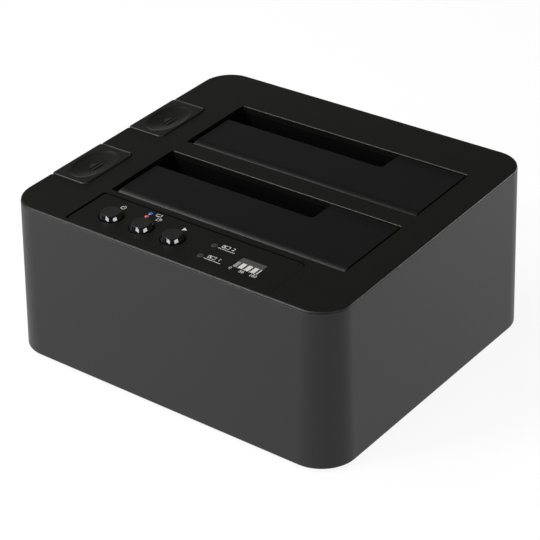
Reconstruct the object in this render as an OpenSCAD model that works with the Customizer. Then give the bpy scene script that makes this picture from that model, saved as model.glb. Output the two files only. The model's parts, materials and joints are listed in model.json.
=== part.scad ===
// Two-bay upright drive dock: a drafted sleeve, a sloping top with two sprung
// flaps, eject keys with rockers, and a control strip, all as separate pieces.
// Millimetres, X to the right, Y to the rear, Z up, origin under the middle.

/* [Body] */
// Width of the sleeve at its bottom edge
body_w = 146.5; // [144:0.5:156]
// Depth of the sleeve at its bottom edge
body_d = 131; // [130:0.5:140]
// Height of the sleeve at mid-depth
body_h = 63.5; // [62:0.5:76]
// Corner radius of the sleeve at its bottom edge
corner_r = 14; // [12:0.5:16]
// Draft angle of the sleeve's walls
draft = 1.85; // [1:0.05:2.2]
// Slope of the top, rising to the rear
top_slope = 2.35; // [0.5:0.05:3]
// Wall of the sleeve
wall = 2.2; // [2:0.1:2.6]
// Rim of the sleeve round the top panel
lip = 0.8; // [0.6:0.1:1]
// Thickness of the top panel
panel_t = 2.6; // [2.4:0.1:3]
// Thickness of the top panel's edge, which covers the sleeve's rim
lid_edge = 0.8; // [0.6:0.1:1.2]
// Thickness of the base cover
base_t = 2.4; // [2:0.1:3]
// Height of the rubber feet below the sleeve
foot_h = 1.5; // [1:0.1:3]
// Radius of the rubber feet
foot_r = 6; // [4:0.5:8]

/* [Drive bays] */
// Width of a drive slot
slot_w = 103; // [102.6:0.1:105]
// Depth of a drive slot from front to back
slot_d = 35; // [34:0.5:37]
// Distance between the bays
bay_pitch = 43.5; // [42:0.5:45]
// Middle of the bays, to the right of the body's middle
bay_x = 7; // [5:0.5:7.5]
// Middle between the bays, behind the body's middle
bay_y = 2.25; // [1:0.25:3]
// Wall of the drive wells
bay_wall = 1.6; // [1.2:0.1:1.8]
// Height of the well floor above the main board
floor_lift = 3; // [2.5:0.1:4]
// Width of the door's notch for a smaller drive
notch_w = 72.9; // [71:0.1:75]
// Depth of the door's notch
notch_d = 11.4; // [10:0.1:13]
// Thickness of a door
door_t = 2; // [1.6:0.1:2]
// Radius of the door's rounded hinge edge
barrel_r = 2.3; // [2.2:0.1:2.6]
// Radius of a door's hinge pin
door_pin_r = 1; // [0.8:0.05:1]

/* [Eject gear] */
// Width of an eject key
key_w = 15.5; // [14:0.5:16]
// Length of an eject key
key_l = 27.4; // [25:0.2:30]
// Distance of a key's middle in front of its bay's middle
key_ahead = 6.6; // [4:0.2:7]
// Height of a key above the top
key_rise = 0.3; // [0.2:0.1:1]
// Travel of an eject key
key_travel = 4; // [3:0.1:4]
// Radius of the key's plunger
plunger_r = 2.5; // [2:0.1:2.5]
// Width of a rocker
lever_w = 5; // [4:0.2:6]
// Radius of a rocker's pin
lever_pin_r = 1.2; // [1:0.1:1.4]

/* [Controls] */
// Width of the control strip
strip_w = 89.4; // [88:0.2:92]
// Depth of the control strip
strip_d = 20.7; // [20:0.1:20.9]
// Thickness of the control strip
strip_t = 1.5; // [1.2:0.1:1.6]
// Corner radius of the control strip
strip_r = 2.4; // [1.5:0.1:3]
// Radius of a round button
button_r = 4.5; // [4:0.05:5]
// Height of a round button above the strip
button_rise = 2.05; // [1.8:0.05:2.4]
// Travel of a round button
button_travel = 0.5; // [0.3:0.05:0.5]
// Distance between the round buttons
button_pitch = 14; // [13:0.1:14.4]

/* [Electronics] */
// Thickness of the boards
board_t = 1.6; // [1:0.1:2]
// Height of the main board above the base cover
standoff_h = 3.5; // [2.5:0.1:5]
// Length of a drive connector
sata_l = 42.5; // [42:0.1:44]
// Width of a drive connector
sata_w = 6.5; // [6:0.1:7]
// Height of a drive connector
sata_h = 9.5; // [8.5:0.1:10]

/* [Hidden] */
$fn = 48;

FRONT = -1;
REAR = 1;

// Clearances
cut = 0.5;              // how far a cutting body runs past a face
fit = 0.2;              // between housing parts that slide into each other
run = 0.05;             // round a pin or stem that turns or slides
seam = 0.15;            // between the top panel and the sleeve's rim
flush = 0.05;           // the top panel's edge inside the sleeve's outer face
touch = 0.05;           // between a sprung stop and its face
key_gap = 0.3;          // round an eject key
strip_gap = [0.6, 0.1, 0.1, 0.4];  // round the control strip: left, right, front and back
reach = 2 * (body_w + body_d);

// Heights
top_z = foot_h + body_h;
base_z = foot_h + base_t;
board_z = base_z + standoff_h;
board_top = board_z + board_t;
floor_z = board_top + floor_lift;
floor_t = 2;
floor_top = floor_z + floor_t;
crown_z = top_z + body_d / 2 * tan(top_slope) + 2;

// Half sizes of the drafted body at a height, set in from its outer face
function half_w(z, inset = 0) = body_w / 2 - inset - (z - foot_h) * tan(draft);
function half_d(z, inset = 0) = body_d / 2 - inset - (z - foot_h) * tan(draft);
function roof(y) = top_z + y * tan(top_slope);

// Bays
slot_x0 = bay_x - slot_w / 2;
slot_x1 = bay_x + slot_w / 2;
well_gap = 0.3;                                   // the well stands back from the slot's edge
well_x0 = slot_x0 - well_gap - bay_wall;
well_x1 = slot_x1 + well_gap + bay_wall;
function bay_mid(side) = bay_y + side * bay_pitch / 2;
function slot_front(side) = bay_mid(side) - slot_d / 2;
function slot_back(side) = bay_mid(side) + slot_d / 2;

// Doors, in the sloping plane of the top
door_sink = 0.5;                                  // the door lies this far below the top
door_left_gap = 1.7;
door_right_gap = 0.5;
door_end_gap = 0.3;
door_x0 = slot_x0 + door_left_gap;
door_x1 = slot_x1 - door_right_gap;
hinge_drop = door_sink + barrel_r;
door_l = slot_d - 2 * door_end_gap - barrel_r;
notch_r = 1.8;                                    // inner corner of the notch
ear_t = 3;
ear_r = door_pin_r + 2;
pin_in = 0.4;                                     // pin ends inside the ears
rib_t = 1.6;
rib_end = 4;                                      // ribs end this far before the notch
rib_x = [door_x0 + 4, door_x0 + notch_w / 2, door_x1 - 6];
spring_l = 7;                                     // pocket for the door's spring
door_wire_r = 0.25;
door_coil_r = door_pin_r + door_wire_r + 0.12;
door_spring_turns = 4;
door_leg = [4, 9];                                // legs of the spring leave the coil and end here

// Eject gear
key_r = 2.4;
key_x0 = -(half_w(top_z + panel_t) - lip - key_gap);
key_x = key_x0 + key_w / 2;
key_end = -(half_w(top_z + panel_t) - flush);     // end of the key's tab over the sleeve's rim
key_tab_t = 1;
key_t = 3;
key_flange = 1.2;
key_room = 3;                                     // room under a pressed key
key_dish_r = [50, 16];                            // finger dish along and across the key
key_dish_depth = 0.9;
function key_y(side) = bay_mid(side) - key_ahead;
shelf_z = floor_top + 0.42 * (top_z - floor_top);
shelf_t = 2.5;
lever_gap = 0.4;
lever_ear_t = 2;
lever_hub_wall = 2.2;                             // hub round the pin
lever_hub_r = lever_pin_r + lever_hub_wall;
lever_aside = 2.2;                                // hub from the well's wall
lever_x = well_x0 - lever_hub_r - lever_aside;
lever_lift = 3;                                   // pin above the well's floor
lever_z = floor_top + lever_lift;
lever_t = 3;
lever_inner = 15.5;                               // reach of the rocker's lifting end
lever_sink = 0.3;                                 // the lifting end lies just below the floor
lever_top = floor_top - lever_sink;
lever_past = 1;                                   // outer arm past the plunger, floor cut past the inner arm
lever_pad = lever_z + lever_hub_r;                // top of the outer arm
pad_gap = 0.4;                                    // plunger above the rocker at rest
eject_wire_r = 0.4;
eject_coil_r = plunger_r + eject_wire_r + 0.5;
eject_turns = 7;

// Control strip, in the sloping plane of the top
strip_x = 0.5;
strip_back = slot_front(FRONT) - 3.5;
strip_y = strip_back - strip_d / 2;
strip_ledge = [3, 0.8];                           // ledge that the strip rests on, at its ends and sides
button_y = strip_y - 0.95;
button_left = 32.1;                               // first button left of the strip's middle
button_x = [for (i = [0:2]) strip_x - button_left + i * button_pitch];
button_flange = 0.85;
button_flange_t = 0.9;
button_bevel = [0.75, 1.7];                       // width and height of the cap's sloping side
stem_r = 1.8;
post_r = 3;
post_thread = 5;                                  // length of a screw in its post
post_x = strip_w / 2 + 4;                         // posts of the control board, from the strip's middle
control_z = 10;                                   // control board below the top
control_edge = [2, 0.6];                          // its edges inside the strip's front and back
switch_w = 6;
switch_h = 3.4;
switch_knob_r = 1.7;
switch_knob_h = 1.2;
switch_gap = button_travel + 0.05;
drive_light = [10.7, -0.15, 3.9];                 // drive lights from the strip's middle, half their spacing
drive_light_r = 1.4;
mode_light = [-21.7, -2, 2.2];                    // mode lights from its middle and back edge, their spacing
mode_light_r = 0.95;
mode_flange = 0.1;
lens_flange = 0.4;
lens_flange_t = 0.8;
lens_l = 5.5;
led_r = 1.5;
led_h = 4;
chip_led_w = 1.6;
window_w = 10.4;
window_d = 6.3;
window_at = [29.1, -0.5];                         // window from the strip's middle
window_x = strip_x + window_at[0];
window_y = strip_y + window_at[1];
bar_leds = 5;
bar_led = [1.2, 2, 0.8];

// Base and fasteners
boss_r = 3.6;
boss_h = 20;
screw_r = 1.25;
screw_l = 12;                                     // length of a screw in its boss
head_r = 2.6;
head_h = 1.6;
boss_in = 6.2;                                    // boss from the corner's centre, each way
boss_x = body_w / 2 - corner_r + boss_in;
boss_y = body_d / 2 - corner_r + boss_in;
foot_sink = 0.6;
foot_bevel = 0.5;
foot_in = 19;                                     // foot's middle in from the sides
foot_x = body_w / 2 - foot_in;
foot_y = body_d / 2 - foot_in;
vent_w = 3;
vent_l = 50;
vent_pitch = 8;
vent_count = 9;

// Main board and what it carries
board_out = [-0.5, 2.5, 7];                       // past the slots' left, right and front edges
board_back = 7.5;                                 // before the back
board_x0 = slot_x0 - board_out[0];
board_x1 = slot_x1 + board_out[1];
board_y0 = slot_front(FRONT) - board_out[2];
board_y1 = body_d / 2 - board_back;
board_hole_in = 5;
board_screw_r = 1;
board_head_r = 2.2;
board_head_h = 1.4;
standoff_r = 3;
sata_in = 3;                                      // connector's end from the slot's left end
sata_x = slot_x0 + sata_in + sata_l / 2;
sata_ahead = 4.6;                                 // connector's middle before the slot's back edge
sata_gap = 0.5;
sata_slot = [2.4, 6];                             // width and depth of the contact slots
sata_slots = [[4, 20.6], [27, 10.6]];             // start and length of the power and data slots
usb_w = 13;
usb_h = 12.8;
usb_l = 17.6;
usb_left = 16;                                    // USB port left of the bays' middle
usb_x = bay_x - usb_left;
usb_floor = 1.2;                                  // shell under the mouth
usb_mouth = [8.5, 9, 7.6];                        // width, depth and height
usb_step = [6, 2.6];                              // width and height of the mouth's upper step
usb_tongues = [[5.6, 3.2], [5, 0.9]];             // width and height, lower and upper
jack_w = 9;
jack_h = 11;
jack_l = 14.2;
jack_left = 36;                                   // power jack left of the bays' middle
jack_x = bay_x - jack_left;
jack_drop = 4.6;                                  // axis below the jack's top
jack_mouth = [3.15, 9.5];                         // radius and depth
jack_pin_r = 1;
tongue_in = 1;                                    // tongues and pin end inside the mouth
chip_w = 14;
chip_t = 1.1;
chip_lift = 0.1;
chip_lead = [1.1, 0.4, 0.25];
chip_leads = 11;
chip_margin = 1.5;                                // lead pitches left free at each corner
chip_off = [18, -4];                              // chip from the front bay's middle
chip_at = [bay_x + chip_off[0], bay_mid(FRONT) + chip_off[1]];
can_r = 4;
can_h = 9;
can_foot = [4.2, 1];                              // radius and height of a capacitor's foot
can_groove = [6, 0.3];                            // length and width of the vent grooves
can_first = 14;                                   // first capacitor right of the bays' middle
can_pitch = 12;
can_in = 7;                                       // capacitors before the board's rear edge
can_x = [for (i = [0:2]) bay_x + can_first + can_pitch * i];
can_y = board_y1 - can_in;
coil_w = 8;
coil_h = 4;
coil_hole = [2.6, 0.6];                           // radius and depth of an inductor's dimple
coil_x = [for (i = [0, 1]) usb_x + usb_w / 2 + 1 + coil_w / 2 + i * (coil_w + 1)];
port_gap = 0.4;
port_inset = 0.6;                                 // port faces inside the sleeve's outer face
port_y = half_d(board_top + usb_h / 2, port_inset);
ribbon_w = 12;
ribbon_t = 0.8;
ribbon_right = 23;                                // cable right of the bays' middle
ribbon_x = bay_x + ribbon_right;
ribbon_y = (board_y0 + slot_front(FRONT) - well_gap - bay_wall) / 2;
socket_h = 3;
socket_d = 3.6;
socket_end = 1.5;                                 // socket past the cable, each end

// Shared shapes

// Body with drafted walls and cone corners, set in from the outer face; its ends
// are rounded to a micrometre so that the flat walls and the cones meet exactly
function snap(v) = round(v * 1000) / 1000;

module drafted_block(inset, z_low, z_high) {
  corner_x = body_w / 2 - corner_r;
  corner_y = body_d / 2 - corner_r;
  z0 = snap(z_low);
  z1 = snap(z_high);
  r0 = snap(half_w(z0, inset) - corner_x);
  r1 = snap(half_w(z1, inset) - corner_x);
  rotate([90, 0, 0]) linear_extrude(2 * corner_y, center = true)
    drafted_face(corner_x + r0, corner_x + r1, z0, z1);
  rotate([90, 0, 90]) linear_extrude(2 * corner_x, center = true)
    drafted_face(corner_y + r0, corner_y + r1, z0, z1);
  for (x = [-1, 1], y = [-1, 1])
    translate([x * corner_x, y * corner_y, z0]) cylinder(h = z1 - z0, r1 = r0, r2 = r1);
}

module drafted_face(half_low, half_high, z0, z1) {
  polygon([[-half_low, z0], [half_low, z0], [half_high, z1], [-half_high, z1]]);
}

// Frame of the sloping top: its surface is z = 0
module on_top() {
  translate([0, 0, top_z]) rotate([top_slope, 0, 0]) children();
}

module below_top(depth) {
  on_top() translate([-reach, -reach, -depth - 2 * reach]) cube(2 * reach);
}

module above_top(depth) {
  on_top() translate([-reach, -reach, -depth]) cube(2 * reach);
}

module rounded_plate(w, d, t, r) {
  translate([-w / 2 + r, -d / 2, 0]) cube([w - 2 * r, d, t]);
  translate([-w / 2, -d / 2 + r, 0]) cube([w, d - 2 * r, t]);
  for (x = [-1, 1], y = [-1, 1])
    translate([x * (w / 2 - r), y * (d / 2 - r), 0]) cylinder(h = t, r = r);
}

// Frame of a door's hinge: X along the axis, Y to the rear, Z square to the top
module at_hinge(side) {
  on_top() translate([0, slot_front(side) + door_end_gap + barrel_r, -hinge_drop]) children();
}

module along_x(x0, x1, r) {
  translate([x0, 0, 0]) rotate([0, 90, 0]) cylinder(h = x1 - x0, r = r);
}

module along_y(y0, y1, r) {
  translate([0, y0, 0]) rotate([-90, 0, 0]) cylinder(h = y1 - y0, r = r);
}

module along_z(z0, z1, r) {
  translate([0, 0, z0]) cylinder(h = z1 - z0, r = r);
}

// Round wire along a path that winds about the Z axis, as one closed tube
module wire(path, wire_r) {
  sides = 6;
  last = len(path) - 1;
  axis = [0, 0, 1];
  points = [for (i = [0:last])
    let (along = path[min(i + 1, last)] - path[max(i - 1, 0)], out = cross(along, axis))
      let (n = out / norm(out))
      for (k = [0:sides - 1]) path[i] + wire_r * (cos(360 * k / sides) * n + sin(360 * k / sides) * axis)];
  walls = [for (i = [0:last - 1], k = [0:sides - 1])
    let (p = i * sides + k, q = i * sides + (k + 1) % sides)
      each [[p, q, p + sides], [q, q + sides, p + sides]]];
  ends = [for (k = [1:sides - 2])
    each [[0, k + 1, k], [last * sides, last * sides + k, last * sides + k + 1]]];
  polyhedron(points, concat(walls, ends));
}

function helix(angle, r, length, steps) = [for (i = [0:steps])
  [r * cos(angle * i / steps), r * sin(angle * i / steps), length * i / steps]];

// Housing

module sleeve() color("#47474a") difference() {
  union() {
    difference() {
      intersection() {
        drafted_block(0, foot_h, crown_z);
        below_top(lid_edge);
      }
      drafted_block(wall, foot_h - cut, crown_z + cut);
    }
    for (x = [-1, 1], y = [-1, 1])
      translate([x * boss_x, y * boss_y, base_z]) cylinder(h = boss_h, r = boss_r);
  }
  intersection() {
    drafted_block(lip, top_z - 2 * panel_t - body_d / 2 * tan(top_slope), crown_z + cut);
    above_top(panel_t);
  }
  for (side = [FRONT, REAR]) {
    key_pocket(side);
    key_notch(side);
  }
  for (x = [-1, 1], y = [-1, 1])
    translate([x * boss_x, y * boss_y, base_z - cut]) cylinder(h = boss_h - 4, r = screw_r + run);
  port_windows();
}

// Room for a key and its travel inside the sleeve's rim
module key_pocket(side) {
  depth = panel_t + key_t + key_travel + key_room / 4;
  half_l = key_l / 2 + key_flange + 2 * key_gap;
  translate([key_x0 - key_gap, key_y(side) - half_l, roof(key_y(side)) - depth])
    cube([key_w, 2 * half_l, depth - panel_t / 2]);
}

// Cut in the sleeve's rim for the tab at the key's outer end
module key_notch(side) {
  half_l = key_l / 2 + key_gap;
  intersection() {
    translate([-body_w, key_y(side) - half_l, top_z / 2]) cube([body_w + key_x0, 2 * half_l, top_z]);
    above_top(key_tab_t + key_travel + key_gap);
  }
}

module port_windows() {
  translate([usb_x, port_y, board_top]) translate([-usb_w / 2 - port_gap, -wall * 2, -port_gap])
    cube([usb_w + 2 * port_gap, wall * 4, usb_h + 2 * port_gap]);
  translate([jack_x, port_y, board_top]) translate([-jack_w / 2 - port_gap, -wall * 2, -port_gap])
    cube([jack_w + 2 * port_gap, wall * 4, jack_h + 2 * port_gap]);
}

module top_panel() color("#1c1c1a") difference() {
  union() {
    intersection() {
      drafted_block(lip + seam, top_z - 2 * panel_t - body_d / 2 * tan(top_slope), crown_z);
      below_top(0);
      above_top(panel_t);
    }
    intersection() {
      drafted_block(flush, top_z - 2 * panel_t - body_d / 2 * tan(top_slope), crown_z);
      below_top(0);
      above_top(lid_edge - seam);
    }
    panel_skirt();
    for (side = [FRONT, REAR]) hinge_ears(side);
    on_top() for (x = [-1, 1]) translate([strip_x + x * post_x, strip_y, 0])
      along_z(-control_z, -panel_t, post_r);
  }
  for (side = [FRONT, REAR]) {
    translate([bay_x - slot_w / 2, slot_front(side), roof(bay_mid(side)) - 3 * panel_t])
      cube([slot_w, slot_d, 6 * panel_t]);
    key_opening(side);
    at_hinge(side) along_x(slot_x0 - ear_t - cut, slot_x1 + ear_t + cut, door_pin_r);
  }
  on_top() translate([strip_x, strip_y, 0]) {
    translate([(strip_gap[1] - strip_gap[0]) / 2, (strip_gap[3] - strip_gap[2]) / 2, -strip_t])
      rounded_plate(strip_w + strip_gap[0] + strip_gap[1], strip_d + strip_gap[2] + strip_gap[3],
                    2 * strip_t, strip_r);
    translate([0, 0, -2 * panel_t])
      rounded_plate(strip_w - 2 * strip_ledge[0], strip_d - 2 * strip_ledge[1], 4 * panel_t, strip_r);
    for (x = [-1, 1]) translate([x * post_x, 0, 0])
      along_z(-control_z - cut, -panel_t - 1, board_screw_r + run);
  }
}

// Locating rib under the top panel, left open at the keys
module panel_skirt() {
  skirt_t = 1.5;
  skirt_h = 4;
  difference() {
    intersection() {
      difference() {
        drafted_block(wall + fit, top_z - 4 * skirt_h, crown_z);
        drafted_block(wall + fit + skirt_t, top_z - 5 * skirt_h, crown_z + cut);
      }
      below_top(panel_t);
      above_top(panel_t + skirt_h);
    }
    translate([-body_w, key_y(FRONT) - key_l, top_z - body_h / 2])
      cube([body_w / 2 + key_w, key_y(REAR) - key_y(FRONT) + 2 * key_l, body_h]);
  }
}

module hinge_ears(side) {
  at_hinge(side) for (x = [slot_x0 - ear_t, slot_x1]) {
    along_x(x, x + ear_t, ear_r);
    translate([x, -ear_r, 0]) cube([ear_t, 2 * ear_r, hinge_drop - panel_t / 2]);
  }
}

module key_opening(side) {
  half_l = key_l / 2 + key_gap;
  x0 = key_x0 - key_gap;
  translate([x0, key_y(side) - half_l, roof(key_y(side)) - 3 * panel_t]) {
    translate([-body_w, 0, 0]) cube([body_w + key_w + 2 * key_gap - key_r, 2 * half_l, 6 * panel_t]);
    translate([0, key_r, 0]) cube([key_w + 2 * key_gap, 2 * half_l - 2 * key_r, 6 * panel_t]);
    for (y = [key_r, 2 * half_l - key_r])
      translate([key_w + 2 * key_gap - key_r, y, 0]) cylinder(h = 6 * panel_t, r = key_r);
  }
}

module base_cover() color("#1a1a1b") difference() {
  union() {
    drafted_block(wall + fit, foot_h, base_z);
    for (p = board_holes()) translate(p) along_z(base_z - cut, base_z + standoff_h, standoff_r);
  }
  for (x = [-1, 1], y = [-1, 1]) {
    translate([x * foot_x, y * foot_y, foot_h - cut]) cylinder(h = foot_sink + cut, r = foot_r + fit);
    translate([x * boss_x, y * boss_y, 0]) {
      along_z(0, base_z + cut, screw_r + run);
      along_z(0, foot_h + head_h, head_r + fit);
    }
  }
  for (p = board_holes()) translate(p)
    along_z(foot_h + base_t / 2, base_z + standoff_h + cut, board_screw_r + run);
  for (i = [0:vent_count - 1])
    translate([bay_x + (i - (vent_count - 1) / 2) * vent_pitch, 0, foot_h - cut]) {
      translate([-vent_w / 2, -vent_l / 2, 0]) cube([vent_w, vent_l, base_t + 2 * cut]);
      for (y = [-1, 1]) translate([0, y * vent_l / 2, 0]) cylinder(h = base_t + 2 * cut, r = vent_w / 2);
    }
}

function board_holes() = [for (x = [board_x0 + board_hole_in, board_x1 - board_hole_in],
  y = [board_y0 + board_hole_in, board_y1 - board_hole_in]) [x, y]];

module rubber_feet() color("#202020")
  for (x = [-1, 1], y = [-1, 1]) translate([x * foot_x, y * foot_y, 0]) {
    along_z(foot_bevel, foot_h + foot_sink, foot_r);
    cylinder(h = foot_bevel, r1 = foot_r - foot_bevel, r2 = foot_r);
  }

module base_screws() color("#8a8c90")
  for (x = [-1, 1], y = [-1, 1]) translate([x * boss_x, y * boss_y, 0]) difference() {
    union() {
      along_z(foot_h + fit, foot_h + head_h, head_r);
      along_z(foot_h + head_h / 2, base_z + screw_l, screw_r);
    }
    cross_recess(foot_h + fit, head_r);
  }

// Cross slot cut up into a screw head that faces down
module cross_recess(z, r) {
  for (a = [0, 90]) rotate([0, 0, a])
    translate([-r * 0.6, -r * 0.14, z - cut]) cube([r * 1.2, r * 0.28, cut + r * 0.3]);
}

module control_panel() color("#1e1e1d") on_top() difference() {
  translate([strip_x, strip_y, -strip_t]) rounded_plate(strip_w, strip_d, strip_t, strip_r);
  for (x = button_x) translate([x, button_y, 0]) along_z(-2 * strip_t, strip_t, button_r + fit);
  for (p = drive_lights()) translate(p) along_z(-2 * strip_t, strip_t, drive_light_r + run);
  for (i = [0, 1]) translate(mode_light_at(i)) along_z(-2 * strip_t, strip_t, mode_light_r + run);
  translate([window_x - window_w / 2 - run, window_y - window_d / 2 - run, -2 * strip_t])
    cube([window_w + 2 * run, window_d + 2 * run, 4 * strip_t]);
}

function drive_lights() = [for (k = [-1, 1])
  [strip_x + drive_light[0], strip_y + drive_light[1] + k * drive_light[2], 0]];
function mode_light_at(i) = [strip_x + mode_light[0], strip_back + mode_light[1] - i * mode_light[2], 0];

// Drive bays

module bay(side) color("#161617") {
  mid = bay_mid(side);
  y0 = slot_front(side) - well_gap - bay_wall;
  depth = slot_d + 2 * (well_gap + bay_wall);
  difference() {
    intersection() {
      union() {
        translate([well_x0, y0, floor_z]) cube([well_x1 - well_x0, depth, crown_z - floor_z]);
        key_shelf(side);
        lever_ears(side);
      }
      below_top(panel_t);
    }
    translate([well_x0 + bay_wall, y0 + bay_wall, floor_top])
      cube([well_x1 - well_x0 - 2 * bay_wall, depth - 2 * bay_wall, crown_z]);
    translate([sata_x - sata_l / 2 - sata_gap, sata_y(side) - sata_w / 2 - sata_gap, floor_z - cut])
      cube([sata_l + 2 * sata_gap, sata_w + 2 * sata_gap, floor_t + 2 * cut]);
    translate([well_x0 - cut, key_y(side) - lever_w / 2 - lever_gap, floor_z - cut])
      cube([lever_x + lever_inner - well_x0 + cut + lever_past, lever_w + 2 * lever_gap, floor_t + 2 * cut]);
    translate([well_x0 - cut, key_y(side) - lever_w / 2 - lever_gap, floor_z - cut])
      cube([bay_wall + 2 * cut, lever_w + 2 * lever_gap, lever_hub_r + key_travel + floor_t]);
    at_hinge(side) for (x = [slot_x0 - ear_t - well_gap, slot_x1 - well_gap])
      translate([x, -ear_r - well_gap, -ear_r - well_gap])
        cube([ear_t + 2 * well_gap, 2 * (ear_r + well_gap), 3 * ear_r]);
  }
}

function sata_y(side) = slot_back(side) - sata_ahead;

// Shelf that guides the key's plunger and seats its spring
module key_shelf(side) {
  half = eject_coil_r + eject_wire_r + 2.5;
  translate([0, key_y(side), shelf_z]) difference() {
    union() {
      translate([key_x - half, -half, 0]) cube([well_x0 - key_x + half, 2 * half, shelf_t]);
      for (y = [-half, half - bay_wall]) translate([0, y + bay_wall, 0]) rotate([90, 0, 0])
        linear_extrude(bay_wall)
          polygon([[well_x0, 0], [well_x0, -1.2 * half], [key_x + half, 0]]);
    }
    translate([key_x, 0, 0]) along_z(-cut, shelf_t + cut, plunger_r + fit);
  }
}

module lever_ears(side) {
  translate([0, key_y(side), 0]) difference() {
    for (y = [-lever_w / 2 - lever_gap - lever_ear_t, lever_w / 2 + lever_gap])
      translate([0, y, 0]) {
        translate([lever_x, 0, lever_z]) along_y(0, lever_ear_t, lever_hub_r);
        translate([lever_x, 0, lever_z - lever_hub_r])
          cube([well_x0 - lever_x, lever_ear_t, 2 * lever_hub_r]);
      }
    translate([lever_x, 0, lever_z]) along_y(-lever_w - lever_ear_t, lever_w + lever_ear_t, lever_pin_r);
  }
}

module front_bay() bay(FRONT);
module rear_bay() bay(REAR);

// Notched flap; its hinge edge is a round barrel on the pin
module door(side) color("#1b1b1a") at_hinge(side) difference() {
  union() {
    along_x(door_x0, door_x1, barrel_r);
    translate([door_x0, 0, barrel_r - door_t]) cube([door_x1 - door_x0, door_l, door_t]);
    for (x = rib_x) translate([x, 0, -barrel_r / 2]) cube([rib_t, door_l - notch_d - rib_end, barrel_r]);
  }
  door_notch(slot_x0 + notch_w, door_l + door_end_gap - notch_d);
  along_x(door_x0 - cut, door_x1 + cut, door_pin_r + run);
  translate([bay_x, 0, 0]) {
    along_x(-spring_l / 2, spring_l / 2, door_coil_r + door_wire_r + 0.15);
    translate([-spring_l / 2, -barrel_r - cut, -barrel_r - cut])
      cube([spring_l, 2 * barrel_r + cut, barrel_r + cut]);
  }
}

// Cut for a smaller drive, up to x1 and back from y0, with a rounded inner corner
module door_notch(x1, y0) {
  x0 = door_x0 - cut;
  translate([x0, y0 + notch_r, -barrel_r]) cube([x1 - x0, notch_d + cut, 3 * barrel_r]);
  translate([x0, y0, -barrel_r]) cube([x1 - notch_r - x0, notch_d + cut, 3 * barrel_r]);
  translate([x1 - notch_r, y0 + notch_r, 0]) along_z(-barrel_r, 2 * barrel_r, notch_r);
}

module front_door() door(FRONT);
module rear_door() door(REAR);

module door_pin(side) color("#b9bcc2")
  at_hinge(side) along_x(slot_x0 - ear_t + pin_in, slot_x1 + ear_t - pin_in, door_pin_r);

module front_door_pin() door_pin(FRONT);
module rear_door_pin() door_pin(REAR);

// Torsion spring: one leg under the flap, one on the well's front wall
module door_spring(side) color("#c4c6ca") at_hinge(side) translate([bay_x, 0, 0]) {
  length = spring_l - 2;
  under_door = barrel_r - door_t - door_wire_r - touch;
  at_wall = door_end_gap + barrel_r + well_gap - door_wire_r - touch;
  rotate([0, 90, 0]) translate([0, 0, -length / 2]) wire(concat(
    [[-under_door, door_leg[1], 0], [-under_door, door_leg[0], 0]],
    helix(-360 * door_spring_turns - 270, door_coil_r, length, 12 * door_spring_turns + 9),
    [[door_leg[0], 0, length], [door_leg[1], door_leg[1] * tan(top_slope) - at_wall - fit, length]]),
    door_wire_r);
}

module front_door_spring() door_spring(FRONT);
module rear_door_spring() door_spring(REAR);

// Drive connector with its two contact slots
module sata_connector(side) color("#121212") translate([sata_x, sata_y(side), board_top]) difference() {
  translate([-sata_l / 2, -sata_w / 2, 0]) cube([sata_l, sata_w, sata_h]);
  for (slot = sata_slots) translate([-sata_l / 2 + slot[0], -sata_slot[0] / 2, sata_h - sata_slot[1]])
    cube([slot[1], sata_slot[0], sata_slot[1] + cut]);
}

module front_sata_connector() sata_connector(FRONT);
module rear_sata_connector() sata_connector(REAR);

// Eject gear

// Dished key with a tab over the sleeve's rim, a retaining flange and a plunger
module eject_button(side) color("#191918") {
  y = key_y(side);
  under = roof(y) - panel_t - touch;
  difference() {
    union() {
      intersection() {
        translate([key_x0, y - key_l / 2, under - key_t]) key_block(key_w, key_l, key_t * 4, key_r);
        below_top(-key_rise);
      }
      intersection() {
        translate([key_end, y - key_l / 2, under - key_t])
          cube([key_x0 + key_r - key_end, key_l, key_t * 4]);
        below_top(-key_rise);
        above_top(key_tab_t);
      }
      intersection() {
        translate([key_x0, y - key_l / 2 - key_flange, under - key_t])
          cube([key_w + key_flange, key_l + 2 * key_flange, key_t]);
        below_top(panel_t + touch);
      }
    }
    translate([key_x, y, 0]) on_slope(roof(y) + key_rise) key_dish();
  }
  translate([key_x, y, 0]) {
    along_z(lever_pad + pad_gap + plunger_r, under - key_t / 2, plunger_r);
    translate([0, 0, lever_pad + pad_gap + plunger_r]) sphere(plunger_r);
  }
}

module on_slope(z) {
  translate([0, 0, z]) rotate([top_slope, 0, 0]) children();
}

module key_block(w, l, t, r) {
  cube([w - r, l, t]);
  translate([0, r, 0]) cube([w, l - 2 * r, t]);
  for (y = [r, l - r]) translate([w - r, y, 0]) cylinder(h = t, r = r);
}

// Oval finger dish, the belly of a spindle that lies along the key
module key_dish() {
  long_r = key_dish_r[0];
  short_r = key_dish_r[1];
  translate([0, 0, short_r - key_dish_depth]) rotate([90, 0, 0]) rotate_extrude() intersection() {
    translate([short_r - long_r, 0]) circle(long_r);
    translate([0, -key_l]) square([short_r, 2 * key_l]);
  }
}

module front_eject_button() eject_button(FRONT);
module rear_eject_button() eject_button(REAR);

module eject_spring(side) color("#c4c6ca") {
  y = key_y(side);
  z0 = shelf_z + shelf_t + eject_wire_r;
  length = roof(y) - panel_t - key_t - shelf_z - shelf_t - 2 * (eject_wire_r + fit + touch);
  translate([key_x, y, z0])
    wire(helix(360 * eject_turns, eject_coil_r, length, 12 * eject_turns), eject_wire_r);
}

module front_eject_spring() eject_spring(FRONT);
module rear_eject_spring() eject_spring(REAR);

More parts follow.
